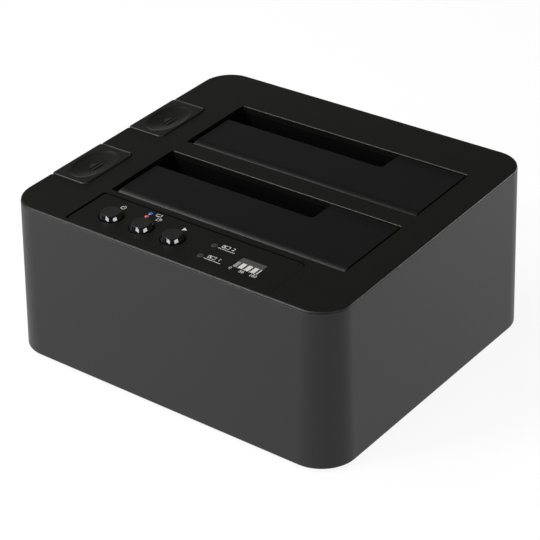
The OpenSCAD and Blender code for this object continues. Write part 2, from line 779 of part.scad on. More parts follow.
// Rocker: the outer arm lies under the plunger, the inner arm under the drive
module eject_lever(side) color("#d8d6cf") translate([0, key_y(side), 0]) difference() {
  union() {
    translate([lever_x, 0, lever_z]) along_y(-lever_w / 2, lever_w / 2, lever_hub_r);
    translate([0, lever_w / 2, 0]) rotate([90, 0, 0]) linear_extrude(lever_w) {
      polygon([[key_x - plunger_r - lever_past, lever_pad], [lever_x, lever_pad],
               [lever_x, lever_z - lever_t], [key_x - plunger_r - lever_past, lever_pad - lever_t / 2]]);
      polygon([[lever_x, lever_z - lever_t], [lever_x + lever_hub_r, lever_top],
               [lever_x + lever_inner, lever_top], [lever_x + lever_inner, lever_top - lever_t / 2],
               [lever_x + lever_hub_r, lever_top - lever_t], [lever_x, lever_z - lever_hub_r]]);
    }
  }
  translate([lever_x, 0, lever_z]) along_y(-lever_w, lever_w, lever_pin_r + run);
}

module front_eject_lever() eject_lever(FRONT);
module rear_eject_lever() eject_lever(REAR);

module lever_pin(side) color("#b9bcc2") {
  half = lever_w / 2 + lever_gap + lever_ear_t;
  translate([lever_x, key_y(side), lever_z]) along_y(-half, half, lever_pin_r);
}

module front_lever_pin() lever_pin(FRONT);
module rear_lever_pin() lever_pin(REAR);

// Controls

// Round cap with a bevelled edge, a retaining flange and a stem
module round_button(i) color("#161616") on_top() translate([button_x[i], button_y, 0]) {
  flange_top = -strip_t - touch;
  knob_top = -control_z + switch_h + switch_knob_h;
  along_z(flange_top - button_flange_t / 2, button_rise - button_bevel[1], button_r);
  translate([0, 0, button_rise - button_bevel[1]])
    cylinder(h = button_bevel[1], r1 = button_r, r2 = button_r - button_bevel[0]);
  along_z(flange_top - button_flange_t, flange_top, button_r + button_flange);
  along_z(knob_top + switch_gap, flange_top, stem_r);
}

module power_button() round_button(0);
module mode_button() round_button(1);
module start_button() round_button(2);

module light_pipe(r, flange) {
  along_z(-lens_l, 0, r);
  along_z(-strip_t - lens_flange_t, -strip_t, r + flange);
}

module drive_light_lenses() color("#3a3c40") on_top()
  for (p = drive_lights()) translate(p) light_pipe(drive_light_r, lens_flange);

module computer_light_lens() color("#2f5fd0") on_top()
  translate(mode_light_at(0)) light_pipe(mode_light_r, mode_flange);

module copy_light_lens() color("#c03028") on_top()
  translate(mode_light_at(1)) light_pipe(mode_light_r, mode_flange);

module progress_window() color("#55554f") on_top() translate([window_x, window_y, 0]) {
  translate([-window_w / 2, -window_d / 2, -strip_t - lens_flange_t / 2])
    cube([window_w, window_d, strip_t + lens_flange_t / 2]);
  translate([-window_w / 2 - lens_flange, -window_d / 2 - lens_flange, -strip_t - lens_flange_t])
    cube([window_w + 2 * lens_flange, window_d + 2 * lens_flange, lens_flange_t]);
}

module control_board() color("#1f5a34") on_top() translate([strip_x, strip_y, -control_z - board_t])
  difference() {
    translate([-post_x - post_r, -strip_d / 2 + control_edge[0], 0])
      cube([2 * (post_x + post_r), strip_d - control_edge[0] - control_edge[1], board_t]);
    for (x = [-1, 1]) translate([x * post_x, 0, 0]) along_z(-cut, board_t + cut, board_screw_r + run);
  }

module control_switches() color("#2a2a2c") on_top()
  for (x = button_x) translate([x, button_y, -control_z]) {
    translate([-switch_w / 2, -switch_w / 2, 0]) cube([switch_w, switch_w, switch_h]);
    along_z(switch_h, switch_h + switch_knob_h, switch_knob_r);
  }

module indicator_leds() color("#e8e8e0") on_top() {
  for (p = drive_lights()) translate(p) along_z(-control_z, -control_z + led_h, led_r);
  for (i = [0, 1]) translate(mode_light_at(i) + [0, 0, -control_z])
    translate([-chip_led_w / 2, -chip_led_w / 2, 0]) cube([chip_led_w, chip_led_w, led_h]);
  for (i = [0:bar_leds - 1])
    translate([window_x + (i - (bar_leds - 1) / 2) * window_w / bar_leds, window_y, -control_z])
      translate([-bar_led[0] / 2, -bar_led[1], 0]) cube(bar_led);
}

module control_board_screws() color("#8a8c90") on_top()
  for (x = [-1, 1]) translate([strip_x + x * post_x, strip_y, -control_z - board_t]) {
    along_z(-board_head_h, 0, board_head_r);
    along_z(-cut, board_t + post_thread, board_screw_r);
  }

// Electronics

module main_board() color("#1f5a34") difference() {
  translate([board_x0, board_y0, board_z]) cube([board_x1 - board_x0, board_y1 - board_y0, board_t]);
  for (p = board_holes()) translate(p) along_z(board_z - cut, board_top + cut, board_screw_r + run);
}

module bridge_chip() color("#1a1a1c") translate([chip_at[0], chip_at[1], board_top]) {
  translate([-chip_w / 2, -chip_w / 2, chip_lift]) cube([chip_w, chip_w, chip_t]);
  pitch = chip_w / (chip_leads + 2 * chip_margin);
  for (a = [0:90:270], i = [0:chip_leads - 1]) rotate([0, 0, a])
    translate([chip_w / 2 - run, (i - (chip_leads - 1) / 2) * pitch - chip_lead[1] / 2, 0]) cube(chip_lead);
}

module capacitors() color("#2b2e3a")
  for (x = can_x) translate([x, can_y, board_top]) difference() {
    union() {
      along_z(0, can_foot[1], can_foot[0]);
      along_z(0, can_h, can_r);
    }
    for (a = [0, 90]) rotate([0, 0, a])
      translate([-can_groove[0] / 2, -can_groove[1] / 2, can_h - can_groove[1]])
        cube([can_groove[0], can_groove[1], can_groove[1] + cut]);
  }

module inductors() color("#4b4b4f")
  for (x = coil_x) translate([x, can_y, board_top]) difference() {
    translate([-coil_w / 2, -coil_w / 2, 0]) cube([coil_w, coil_w, coil_h]);
    along_z(coil_h - coil_hole[1], coil_h + cut, coil_hole[0]);
  }

// Upright type B receptacle: metal shell, keyed mouth and tongues
module usb_port() color("#b9bcc2") translate([usb_x, port_y, board_top]) {
  depth = usb_mouth[1];
  mouth_top = usb_floor + usb_mouth[2];
  difference() {
    translate([-usb_w / 2, -usb_l, 0]) cube([usb_w, usb_l, usb_h]);
    translate([-usb_mouth[0] / 2, -depth, usb_floor]) cube([usb_mouth[0], depth + cut, usb_mouth[2]]);
    translate([-usb_step[0] / 2, -depth, mouth_top - cut])
      cube([usb_step[0], depth + cut, usb_step[1] + cut]);
  }
  tongue(usb_tongues[0], usb_floor + usb_mouth[2] / 2, depth);
  tongue(usb_tongues[1], mouth_top + usb_step[1] / 2, depth);
}

module tongue(size, z, depth) {
  translate([-size[0] / 2, -depth - cut, z - size[1] / 2])
    cube([size[0], depth + cut - tongue_in, size[1]]);
}

// Barrel jack: plastic block, round mouth and centre pin
module dc_jack() color("#151516") translate([jack_x, port_y, board_top]) {
  difference() {
    translate([-jack_w / 2, -jack_l, 0]) cube([jack_w, jack_l, jack_h]);
    translate([0, 0, jack_h - jack_drop]) along_y(-jack_mouth[1], cut, jack_mouth[0]);
  }
  translate([0, 0, jack_h - jack_drop]) along_y(-jack_mouth[1] - cut, -tongue_in, jack_pin_r);
}

module board_screws() color("#8a8c90")
  for (p = board_holes()) translate([p[0], p[1], board_top]) difference() {
    union() {
      along_z(0, board_head_h, board_head_r);
      along_z(-board_t - standoff_h, cut, board_screw_r);
    }
    mirror([0, 0, 1]) cross_recess(-board_head_h, board_head_r);
  }

// Flat cable from the control board down to the main board
module ribbon_cable() color("#d9d9d2")
  translate([ribbon_x - ribbon_w / 2, ribbon_y - ribbon_t / 2, board_top + socket_h / 2])
    cube([ribbon_w, ribbon_t, ribbon_top() - board_top - socket_h]);

function ribbon_top() = roof(ribbon_y) - control_z - board_t - fit;

module cable_connectors() color("#e6e2d4") {
  for (z = [board_top, ribbon_top() - socket_h])
    translate([ribbon_x, ribbon_y, z]) difference() {
      translate([-ribbon_w / 2 - socket_end, -socket_d / 2, 0])
        cube([ribbon_w + 2 * socket_end, socket_d, socket_h]);
      translate([-ribbon_w / 2, -ribbon_t / 2, z == board_top ? socket_h / 2 : -cut])
        cube([ribbon_w, ribbon_t, socket_h / 2 + cut]);
    }
}

sleeve();
top_panel();
control_panel();
base_cover();
rubber_feet();
base_screws();
front_bay();
rear_bay();
front_door();
rear_door();
front_door_pin();
rear_door_pin();
front_door_spring();
rear_door_spring();
front_eject_button();
rear_eject_button();
front_eject_spring();
rear_eject_spring();
front_eject_lever();
rear_eject_lever();
front_lever_pin();
rear_lever_pin();
power_button();
mode_button();
start_button();
drive_light_lenses();
computer_light_lens();
copy_light_lens();
progress_window();
control_board();
control_switches();
indicator_leds();
control_board_screws();
main_board();
front_sata_connector();
rear_sata_connector();
bridge_chip();
capacitors();
inductors();
usb_port();
dc_jack();
board_screws();
ribbon_cable();
cable_connectors();
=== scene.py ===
import bmesh
import bpy
import json
import math
from mathutils import Matrix, Vector


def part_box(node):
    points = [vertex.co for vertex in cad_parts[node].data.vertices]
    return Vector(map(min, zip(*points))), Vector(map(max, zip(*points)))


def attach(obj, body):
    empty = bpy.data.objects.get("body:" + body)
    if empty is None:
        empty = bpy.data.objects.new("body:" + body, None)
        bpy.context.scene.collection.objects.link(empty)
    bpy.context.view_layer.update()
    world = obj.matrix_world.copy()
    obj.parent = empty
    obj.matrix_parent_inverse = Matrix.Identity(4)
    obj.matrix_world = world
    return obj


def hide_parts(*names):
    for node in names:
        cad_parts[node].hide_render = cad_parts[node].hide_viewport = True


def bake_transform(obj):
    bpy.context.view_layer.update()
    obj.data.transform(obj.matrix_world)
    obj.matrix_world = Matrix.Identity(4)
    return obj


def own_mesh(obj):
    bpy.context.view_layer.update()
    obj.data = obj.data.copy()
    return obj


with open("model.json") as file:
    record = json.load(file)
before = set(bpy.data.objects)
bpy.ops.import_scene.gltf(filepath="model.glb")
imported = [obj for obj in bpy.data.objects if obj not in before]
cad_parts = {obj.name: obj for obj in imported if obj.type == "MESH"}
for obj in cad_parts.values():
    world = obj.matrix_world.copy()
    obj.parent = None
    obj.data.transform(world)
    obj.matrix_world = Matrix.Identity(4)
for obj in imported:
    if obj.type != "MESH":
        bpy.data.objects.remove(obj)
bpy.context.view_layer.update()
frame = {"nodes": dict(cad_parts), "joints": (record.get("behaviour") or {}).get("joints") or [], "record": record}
record = frame["record"]
mm = 0.001
print("frame loaded,", len(frame["nodes"]), "nodes")


def boxOf(node):
    # lowest and highest corner of a CAD node at rest, in millimetres
    return [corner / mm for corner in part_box(node)]


# The dock's body, in millimetres: drafted walls, cone corners and a top that slopes to the front
dock = dict(cornerRadius=14.0, draft=1.85, wall=2.2, rim=0.8, seam=0.15, flush=0.05, panel=2.6, lidEdge=0.8)
mounts = {m["name"]: m for m in record["mounts"]}
joints = {j["name"]: j for j in frame["joints"]}
slope = math.asin(joints["power_press"]["axis"][1])
slotMid = mounts["front_drive_slot"]["pos_m"]
topHeight = slotMid[2] / mm - slotMid[1] / mm * math.tan(slope)   # height of the top at mid-depth
sleeveLow, sleeveHigh = boxOf("sleeve")
topFrame = Matrix.Translation((0, 0, topHeight)) @ Matrix.Rotation(slope, 4, "X")
topWay = topFrame.to_3x3() @ Vector((0, 0, 1))
scaleDown = Matrix.Scale(mm, 4)
endOn = Matrix(((0, 0, 1, 0), (1, 0, 0, 0), (0, 1, 0, 0), (0, 0, 0, 1)))   # lays an outline across X


def topBox(node):
    # lowest and highest corner of a CAD node, in the top's own sloping frame and in millimetres
    back = topFrame.inverted() @ Matrix.Scale(1 / mm, 4)
    spots = [back @ v.co for v in frame["nodes"][node].data.vertices]
    low = Vector([min(p[i] for p in spots) for i in range(3)])
    high = Vector([max(p[i] for p in spots) for i in range(3)])
    return low, high


# Shader nodes

class Wire:
    # a socket that takes part in sums, so that shader maths reads as Python
    def __init__(self, tree, socket):
        self.tree = tree
        self.socket = socket

    def maths(self, operation, first, second):
        node = self.tree.nodes.new("ShaderNodeMath")
        node.operation = operation
        for slot, value in zip(node.inputs, (first, second)):
            plug(self.tree, slot, value)
        return Wire(self.tree, node.outputs[0])

    def __add__(self, other):
        return self.maths("ADD", self, other)

    def __radd__(self, other):
        return self.maths("ADD", other, self)

    def __sub__(self, other):
        return self.maths("SUBTRACT", self, other)

    def __rsub__(self, other):
        return self.maths("SUBTRACT", other, self)

    def __mul__(self, other):
        return self.maths("MULTIPLY", self, other)

    def __rmul__(self, other):
        return self.maths("MULTIPLY", other, self)


def plug(tree, slot, value):
    if isinstance(value, Wire):
        tree.links.new(value.socket, slot)
    else:
        slot.default_value = value


class Finish:
    # one material: a Principled surface and the nodes that feed it
    def __init__(self, name, **surface):
        self.material = bpy.data.materials.new(name)
        self.material.use_nodes = True
        self.tree = self.material.node_tree
        self.tree.nodes.clear()
        self.shader = self.tree.nodes.new("ShaderNodeBsdfPrincipled")
        output = self.tree.nodes.new("ShaderNodeOutputMaterial")
        self.tree.links.new(self.shader.outputs[0], output.inputs["Surface"])
        self.feed(**surface)

    def feed(self, **surface):
        for name, value in surface.items():
            plug(self.tree, self.shader.inputs[socketNames[name]], value)
        return self.material

    def node(self, kind, sockets=None, output=0, **settings):
        node = self.tree.nodes.new(kind)
        for name, value in settings.items():
            setattr(node, name, value)
        for name, value in (sockets or {}).items():
            plug(self.tree, node.inputs[name], value)
        return Wire(self.tree, node.outputs[output])

    def place(self):
        return self.node("ShaderNodeTexCoord", output="Object")

    def grain(self, size, detail=2.0, roughness=0.5):
        # soft noise whose cells are about size metres across
        return self.node("ShaderNodeTexNoise", {
            "Vector": self.place(), "Scale": 1 / size, "Detail": detail, "Roughness": roughness})

    def between(self, factor, first, second):
        return self.node("ShaderNodeMix", {0: factor, 6: first, 7: second}, 2, data_type="RGBA")

    def tones(self, factor, color, low, high):
        # from a darker to a lighter shade of one colour
        return self.between(factor, *[tuple(c * share for c in color[:3]) + (1.0,) for share in (low, high)])

    def bump(self, height, depth):
        return self.node("ShaderNodeBump", {"Height": height, "Distance": depth, "Strength": 1.0})


socketNames = dict(
    color="Base Color", roughness="Roughness", metallic="Metallic", specular="Specular IOR Level",
    coat="Coat Weight", coatRoughness="Coat Roughness", normal="Normal")


def grey(level):
    return (level, level, level, 1.0)


def mouldedFinish(name, color, roughness, specular=0.35, grain=0.00035, depth=0.000012):
    # moulded plastic: a fine eroded grain in the tool, and slow drifts of tone and gloss
    finish = Finish(name, specular=specular)
    fine = finish.grain(grain, 3.0, 0.6)
    slow = finish.grain(0.018)
    return finish.feed(
        color=finish.tones(slow * 0.6 + fine * 0.4, color, 0.9, 1.1),
        roughness=roughness + (fine - 0.5) * 0.12 + (slow - 0.5) * 0.05,
        normal=finish.bump(fine, depth))


def paintedFinish(name, color, roughness):
    # satin paint on the sleeve: an orange-peel ripple, a fine grit and faint drifts of tone
    finish = Finish(name, specular=0.25)
    ripple = finish.grain(0.0011, 1.0)
    grit = finish.grain(0.00022, 2.0, 0.6)
    slow = finish.grain(0.045)
    return finish.feed(
        color=finish.tones(slow * 0.7 + grit * 0.3, color, 0.93, 1.07),
        roughness=roughness + (grit - 0.5) * 0.10 + (slow - 0.5) * 0.06,
        normal=finish.bump(ripple * 0.7 + grit * 0.3, 0.000014))


def glossFinish(name, color, roughness):
    # polished plastic with a clear outer skin
    finish = Finish(name, specular=0.5, coat=0.5, coatRoughness=0.03)
    slow = finish.grain(0.004)
    haze = finish.grain(0.0006)
    return finish.feed(
        color=finish.tones(slow, color, 0.9, 1.1),
        roughness=roughness + haze * 0.04,
        normal=finish.bump(slow, 0.000002))


def metalFinish(name, color, roughness, brush=(1, 60, 60)):
    # plated metal with fine lines along one axis
    finish = Finish(name)
    stretched = finish.node("ShaderNodeMapping", {"Vector": finish.place(), "Scale": brush})
    lines = finish.node("ShaderNodeTexNoise", {"Vector": stretched, "Scale": 120.0, "Detail": 3.0})
    slow = finish.grain(0.006)
    return finish.feed(
        metallic=1.0,
        color=finish.tones(slow * 0.5 + lines * 0.5, color, 0.86, 1.08),
        roughness=roughness + (lines - 0.5) * 0.14,
        normal=finish.bump(lines, 0.000004))


def boardFinish(name, color):
    # solder mask over copper: pale tracks under a glossy green skin
    finish = Finish(name, specular=0.5)
    cells = finish.node("ShaderNodeTexBrick", {
        "Vector": finish.place(), "Scale": 260.0, "Mortar Size": 0.06, "Mortar Smooth": 0.1}, 1, offset=0.5)
    slow = finish.grain(0.009)
    return finish.feed(
        color=finish.tones(cells * 0.6 + slow * 0.2, color, 1, 1.9),
        roughness=0.32 + slow * 0.12,
        normal=finish.bump(cells, 0.00003))


def rubberFinish(name, color):
    finish = Finish(name, specular=0.25)
    pores = finish.grain(0.0005, 4.0, 0.7)
    slow = finish.grain(0.004)
    return finish.feed(
        color=finish.tones(slow, color, 0.8, 1.25),
        roughness=0.78 + (pores - 0.5) * 0.2,
        normal=finish.bump(pores, 0.00004))


def printFinish(name, color):
    # ink laid on the strip, a little uneven
    finish = Finish(name, specular=0.3)
    patch = finish.grain(0.0004, 3.0, 0.6)
    return finish.feed(
        color=finish.tones(patch, color, 0.82, 1.05),
        roughness=0.55 + (patch - 0.5) * 0.15)


def lensFinish(name, color, roughness=0.22):
    # a tinted light pipe, cloudy inside
    finish = Finish(name, specular=0.45, coat=0.6, coatRoughness=0.08)
    cloud = finish.grain(0.0007)
    return finish.feed(
        color=finish.tones(cloud, color, 0.75, 1.2),
        roughness=roughness + cloud * 0.08)


def camel(slot):
    first, *rest = slot.split("_")
    return first + "".join(word.title() for word in rest)


slotColors = {m["slot"]: tuple(m["base_color"]) for m in record["materials"]}
# each slot's maker, its colour (None takes the record's), and what else the maker is told
slotLooks = {
    "sleeve_paint": (paintedFinish, (0.0115, 0.0115, 0.0121), 0.44),
    "top_black": (mouldedFinish, (0.0032, 0.0032, 0.0028), 0.40, 0.17),
    "strip_black": (mouldedFinish, (0.0034, 0.0034, 0.0030), 0.46, 0.12),
    "base_black": (mouldedFinish, None, 0.60),
    # the wells' black is made darker still here: painted shade deep inside the bays
    "bay_black": (mouldedFinish, (0.0013, 0.0013, 0.0013), 0.55, 0.06),
    "door_black": (mouldedFinish, (0.0028, 0.0028, 0.0027), 0.36, 0.20),
    "key_black": (mouldedFinish, (0.0040, 0.0040, 0.0035), 0.40, 0.26),
    "button_gloss": (glossFinish, (0.003, 0.003, 0.0045), 0.045),
    "foot_rubber": (rubberFinish, None),
    "screw_steel": (metalFinish, None, 0.34),
    # the pins' steel is darkened almost to black: painted shade where the pins show in the gaps at the flaps' ends
    "pin_steel": (metalFinish, (0.030, 0.030, 0.031), 0.45),
    "spring_steel": (metalFinish, None, 0.28),
    "port_steel": (metalFinish, None, 0.30, (60, 1, 60)),
    "lever_white": (mouldedFinish, None, 0.42),
    "lens_clear": (mouldedFinish, (0.020, 0.020, 0.018), 0.50, 0.2),
    "lens_blue": (lensFinish, (0.030, 0.11, 0.34)),
    "lens_red": (lensFinish, (0.40, 0.065, 0.045)),
    "window_smoke": (lensFinish, (0.042, 0.042, 0.037), 0.30),
    "board_green": (boardFinish, (0.012, 0.075, 0.03)),
    "connector_black": (mouldedFinish, None, 0.48),
    "led_white": (lensFinish, None),
    "chip_black": (mouldedFinish, None, 0.50),
    "capacitor_sleeve": (glossFinish, None, 0.22),
    "inductor_grey": (mouldedFinish, None, 0.62),
    "ribbon_white": (mouldedFinish, None, 0.48),
    "socket_cream": (mouldedFinish, None, 0.45),
}
finishes = {slot: maker(camel(slot), color or slotColors[slot], *gloss)
            for slot, (maker, color, *gloss) in slotLooks.items()}
whiteInk = printFinish("whiteInk", (0.40, 0.40, 0.39))
greyInk = printFinish("greyInk", (0.18, 0.18, 0.165))
paleInk = printFinish("paleInk", (0.42, 0.41, 0.38))
capMatte = mouldedFinish("capMatte", (0.006, 0.006, 0.0057), 0.50, 0.20, 0.0003, 0.000006)
edgeSheen = mouldedFinish("edgeSheen", (0.0034, 0.0034, 0.0031), 0.38, 0.24)
# the raised sign on the keys: glossier than the key, and lighter in colour as a painted glint on its tops
keySheen = mouldedFinish("keySheen", (0.013, 0.013, 0.012), 0.30, 0.4, 0.0003, 0.000006)
for part in record["subparts"]:
    mesh = frame["nodes"][part["node"]].data
    mesh.materials.clear()
    mesh.materials.append(finishes[part["material_slot"]])
print("finishes made,", len(finishes))


# Mesh helpers

weldReach = 1e-7        # in metres
axisReach = 1e-6        # in millimetres


def newPiece(name, mesh, *materials):
    piece = bpy.data.objects.new(name, mesh)
    bpy.context.scene.collection.objects.link(piece)
    for material in materials:
        mesh.materials.append(material)
    return piece


def meshFrom(bm, name):
    mesh = bpy.data.meshes.new(name)
    bm.to_mesh(mesh)
    bm.free()
    return mesh


def settle(piece):
    # turns a piece and its modifiers into one plain mesh
    graph = bpy.context.evaluated_depsgraph_get()
    mesh = bpy.data.meshes.new_from_object(piece.evaluated_get(graph), depsgraph=graph)
    piece.modifiers.clear()
    piece.data = mesh
    return piece


def smoothOver(piece, sharpAngle=40, bevel=0.0, segments=3, bevelAngle=35):
    # small round edges in millimetres, then normals that keep the flats flat
    if bevel:
        rounding = piece.modifiers.new("edges", "BEVEL")
        rounding.width = bevel * mm
        rounding.segments = segments
        rounding.limit_method = "ANGLE"
        rounding.angle_limit = math.radians(bevelAngle)
        settle(piece)
    for face in piece.data.polygons:
        face.use_smooth = True
    piece.data.set_sharp_from_angle(angle=math.radians(sharpAngle))
    weights = piece.modifiers.new("flats", "WEIGHTED_NORMAL")
    weights.keep_sharp = True
    weights.weight = 80
    return settle(piece)


def dress(piece, body, slot, *nodes, sharpAngle=None):
    if sharpAngle:
        smoothOver(piece, sharpAngle)
    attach(piece, body)
    if nodes:
        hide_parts(*nodes)


def curveMesh(curve, place, height=0.0):
    # a curve or text drawn in millimetres, as a plain mesh put in its place
    holder = newPiece(curve.name, curve)
    graph = bpy.context.evaluated_depsgraph_get()
    mesh = bpy.data.meshes.new_from_object(holder.evaluated_get(graph), depsgraph=graph)
    bpy.data.objects.remove(holder)
    mesh.transform(scaleDown @ place @ Matrix.Translation((0, 0, height)))
    mesh.materials.clear()
    return mesh


def linesMesh(name, lines, closed, place, height=0.0, **settings):
    # lines of points drawn as one curve, with the seams of its mesh welded
    curve = bpy.data.curves.new(name, "CURVE")
    for key, value in settings.items():
        setattr(curve, key, value)
    for line in lines:
        spline = curve.splines.new("POLY")
        spline.points.add(len(line) - 1)
        for point, spot in zip(spline.points, line):
            point.co = (*spot, 1)
        spline.use_cyclic_u = closed
    bm = bmesh.new()
    bm.from_mesh(curveMesh(curve, place, height))
    bmesh.ops.remove_doubles(bm, verts=bm.verts, dist=weldReach)
    bmesh.ops.recalc_face_normals(bm, faces=bm.faces)
    return meshFrom(bm, name)


def carve(piece, *cutters):
    for cutter in cutters:
        cut = piece.modifiers.new("cut", "BOOLEAN")
        cut.operation = "DIFFERENCE"
        cut.solver = "EXACT"
        cut.object = cutter
    settle(piece)
    for cutter in cutters:
        bpy.data.objects.remove(cutter)


def boxCutter(low, high, place=Matrix.Identity(4)):
    bm = bmesh.new()
    bmesh.ops.create_cube(bm, size=1.0)
    size = Vector(high) - Vector(low)
    middle = (Vector(high) + Vector(low)) / 2
    shape = Matrix.Translation(middle) @ Matrix.Diagonal((*size, 1))
    bmesh.ops.transform(bm, matrix=scaleDown @ place @ shape, verts=bm.verts)
    return newPiece("cutter", meshFrom(bm, "cutter"))


def placed(name, bm, place, *materials):
    # a piece drawn in millimetres, with its faces outward, put in its place
    bmesh.ops.recalc_face_normals(bm, faces=bm.faces)
    bmesh.ops.transform(bm, matrix=scaleDown @ place, verts=bm.verts)
    return newPiece(name, meshFrom(bm, name), *materials)


def bridge(bm, lower, upper):
    # a band of faces between two rings of points
    for i in range(len(lower)):
        j = (i + 1) % len(lower)
        bm.faces.new((lower[i], lower[j], upper[j], upper[i]))


def prism(outline, low, high, place):
    # a closed block with upright sides
    bm = bmesh.new()
    ends = [[bm.verts.new((x, y, z)) for x, y in outline] for z in (low, high)]
    for end in ends:
        bm.faces.new(end)
    bridge(bm, *ends)
    return placed("prism", bm, place)


def arc(middle, radius, start, end, steps):
    turn = [math.radians(start + (end - start) * i / steps) for i in range(steps + 1)]
    return [(middle[0] + radius * math.cos(a), middle[1] + radius * math.sin(a)) for a in turn]


def cornered(left, right, front, rear, radii, steps=8):
    # a rectangle with its own radius at each corner: front right, rear right, rear left, front left
    points = []
    corners = ((right, front, -1, 1, -90), (right, rear, -1, -1, 0),
               (left, rear, 1, -1, 90), (left, front, 1, 1, 180))
    for radius, (x, y, inX, inY, start) in zip(radii, corners):
        points += arc((x + inX * radius, y + inY * radius), radius, start, start + 90, steps)
    return points


def roundedRect(middle, width, depth, radius, steps=8):
    x, y = middle
    return cornered(x - width / 2, x + width / 2, y - depth / 2, y + depth / 2, (radius,) * 4, steps)


def circle(middle, radius, steps=48):
    return arc(middle, radius, 0, 360, steps)[:-1]


def flatPlate(name, outlines, top, thickness, edge, place=topFrame, edgeSteps=3):
    # a plate with holes and rounded rims: the first outline is its rim, the others are holes
    lines = [[(x, y, 0) for x, y in outline] for outline in outlines]
    half = thickness / 2
    return linesMesh(name, lines, True, place, top - half, dimensions="2D", fill_mode="BOTH",
                     extrude=half - edge, bevel_depth=edge, bevel_resolution=edgeSteps, offset=-edge)


def platePiece(name, finish, *shape):
    return newPiece(name, flatPlate(name, *shape), finish)


def lathe(name, profile, place, steps, *materials):
    # turns a line of (radius, height) about the vertical axis; ends on the axis are closed by a pole
    bm = bmesh.new()
    rings = []
    turn = [2 * math.pi * i / steps for i in range(steps)]
    for radius, height in profile:
        if radius < axisReach:
            rings.append([bm.verts.new((0, 0, height))])
        else:
            rings.append([bm.verts.new((radius * math.cos(a), radius * math.sin(a), height)) for a in turn])
    for upper, lower in zip(rings, rings[1:]):
        for i in range(steps):
            j = (i + 1) % steps
            corners = [upper[i % len(upper)], lower[i % len(lower)],
                       lower[j % len(lower)], upper[j % len(upper)]]
            bm.faces.new(list(dict.fromkeys(corners)))
    return placed(name, bm, place, *materials)


def joinMeshes(name, pieces):
    # one piece from several, keeping each one's materials
    bpy.ops.object.select_all(action="DESELECT")
    for piece in pieces:
        piece.select_set(True)
    bpy.context.view_layer.objects.active = pieces[0]
    bpy.ops.object.join()
    pieces[0].name = name
    return pieces[0]


def copiesAt(name, template, spots, material):
    # Geometry Nodes: a copy of the template on every spot, made real and given its finish
    tree = bpy.data.node_groups.new(name + "Copies", "GeometryNodeTree")
    for way in ("INPUT", "OUTPUT"):
        tree.interface.new_socket("Geometry", in_out=way, socket_type="NodeSocketGeometry")
    inputs = {}
    for label, kind, value in (("Template", "Object", template), ("Finish", "Material", material),
                               ("Size", "Float", 1.0)):
        socket = tree.interface.new_socket(label, in_out="INPUT", socket_type="NodeSocket" + kind)
        inputs[socket.identifier] = value
    entry, leave = [tree.nodes.new(kind) for kind in ("NodeGroupInput", "NodeGroupOutput")]
    info, place, realize, paint = [tree.nodes.new("GeometryNode" + kind) for kind in (
        "ObjectInfo", "InstanceOnPoints", "RealizeInstances", "SetMaterial")]
    for source, output, target, slot in (
            (entry, "Template", info, "Object"), (entry, "Geometry", place, "Points"),
            (info, "Geometry", place, "Instance"), (entry, "Size", place, "Scale"),
            (place, "Instances", realize, "Geometry"), (realize, "Geometry", paint, "Geometry"),
            (entry, "Finish", paint, "Material"), (paint, "Geometry", leave, "Geometry")):
        tree.links.new(source.outputs[output], target.inputs[slot])
    mesh = bpy.data.meshes.new(name)
    mesh.from_pydata([tuple(Vector(s) * mm) for s in spots], [], [])
    piece = newPiece(name, mesh)
    copies = piece.modifiers.new("copies", "NODES")
    copies.node_group = tree
    for identifier, value in inputs.items():
        copies[identifier] = value
    settle(piece)
    bpy.data.objects.remove(template)
    return smoothOver(piece)


# Sleeve

def bodyStations(arcSteps):
    # points round the body: a corner's centre and the way out from it
    outX = sleeveHigh.x - dock["cornerRadius"]
    outY = sleeveHigh.y - dock["cornerRadius"]
    stations = []
    for sx, sy, start in ((1, -1, -90), (1, 1, 0), (-1, 1, 90), (-1, -1, 180)):
        for x, y in arc((0, 0), 1, start, start + 90, arcSteps):
            stations.append((sx * outX, sy * outY, x, y))
    return stations


def wallPoint(station, inset, fromTop=None, fromBase=None):
    # a point of the drafted wall, set in from its outer face,
    # at a depth below the top or a height above the base
    x, y, outX, outY = station
    reach = dock["cornerRadius"] - inset
    height = sleeveLow.z + (fromBase or 0)
    for step in range(4):       # under the sloping top, radius and height settle together
        radius = reach - (height - sleeveLow.z) * math.tan(math.radians(dock["draft"]))
        if fromTop is not None:
            height = topHeight + (y + outY * radius) * math.tan(slope) - fromTop
    return Vector((x + outX * radius, y + outY * radius, height))


sleeveLook = dict(topRound=0.15, footRound=0.7, footFlat=1.6, footEnd=1.8, topEnd=3, roundSteps=4,
                  cornerSteps=24, portGap=0.4)
keyRoom = dict(gap=0.3, flange=1.2, tab=1.0, travel=4.0, pocket=10.35)


def makeSleeve():
    look = sleeveLook
    top, foot, steps, rimDepth = look["topRound"], look["footRound"], look["roundSteps"], dock["lidEdge"]
    profile = [dict(inset=dock["wall"], fromBase=0.0), dict(inset=foot * look["footFlat"], fromBase=0.0)]
    profile += [dict(inset=i, fromBase=h) for i, h in arc((foot, foot), foot, 270, 180, steps)]
    profile += [dict(inset=0.0, fromBase=foot * look["footEnd"]),
                dict(inset=0.0, fromTop=rimDepth + top * look["topEnd"])]
    profile += [dict(inset=i, fromTop=rimDepth + d) for i, d in arc((top, top), top, 180, 270, steps)]
    profile += [dict(inset=dock["rim"], fromTop=rimDepth), dict(inset=dock["rim"], fromTop=dock["panel"]),
                dict(inset=dock["wall"], fromTop=dock["panel"])]
    piece = newPiece("sleeveShell", meshFrom(wallLoft(profile, look["cornerSteps"]), "sleeveShell"),
                     finishes["sleeve_paint"])
    cutters = []
    for port in ("usb_port", "dc_jack"):
        low, high = boxOf(port)
        gap = Vector((look["portGap"],) * 3)
        gap.y = 2 * dock["wall"]
        cutters.append(boxCutter(low - gap, high + gap))
    for side in sides:
        cutters += keyCutters(side)
    carve(piece, *cutters)
    dress(piece, "housing", "sleeve_paint", "sleeve", sharpAngle=35)


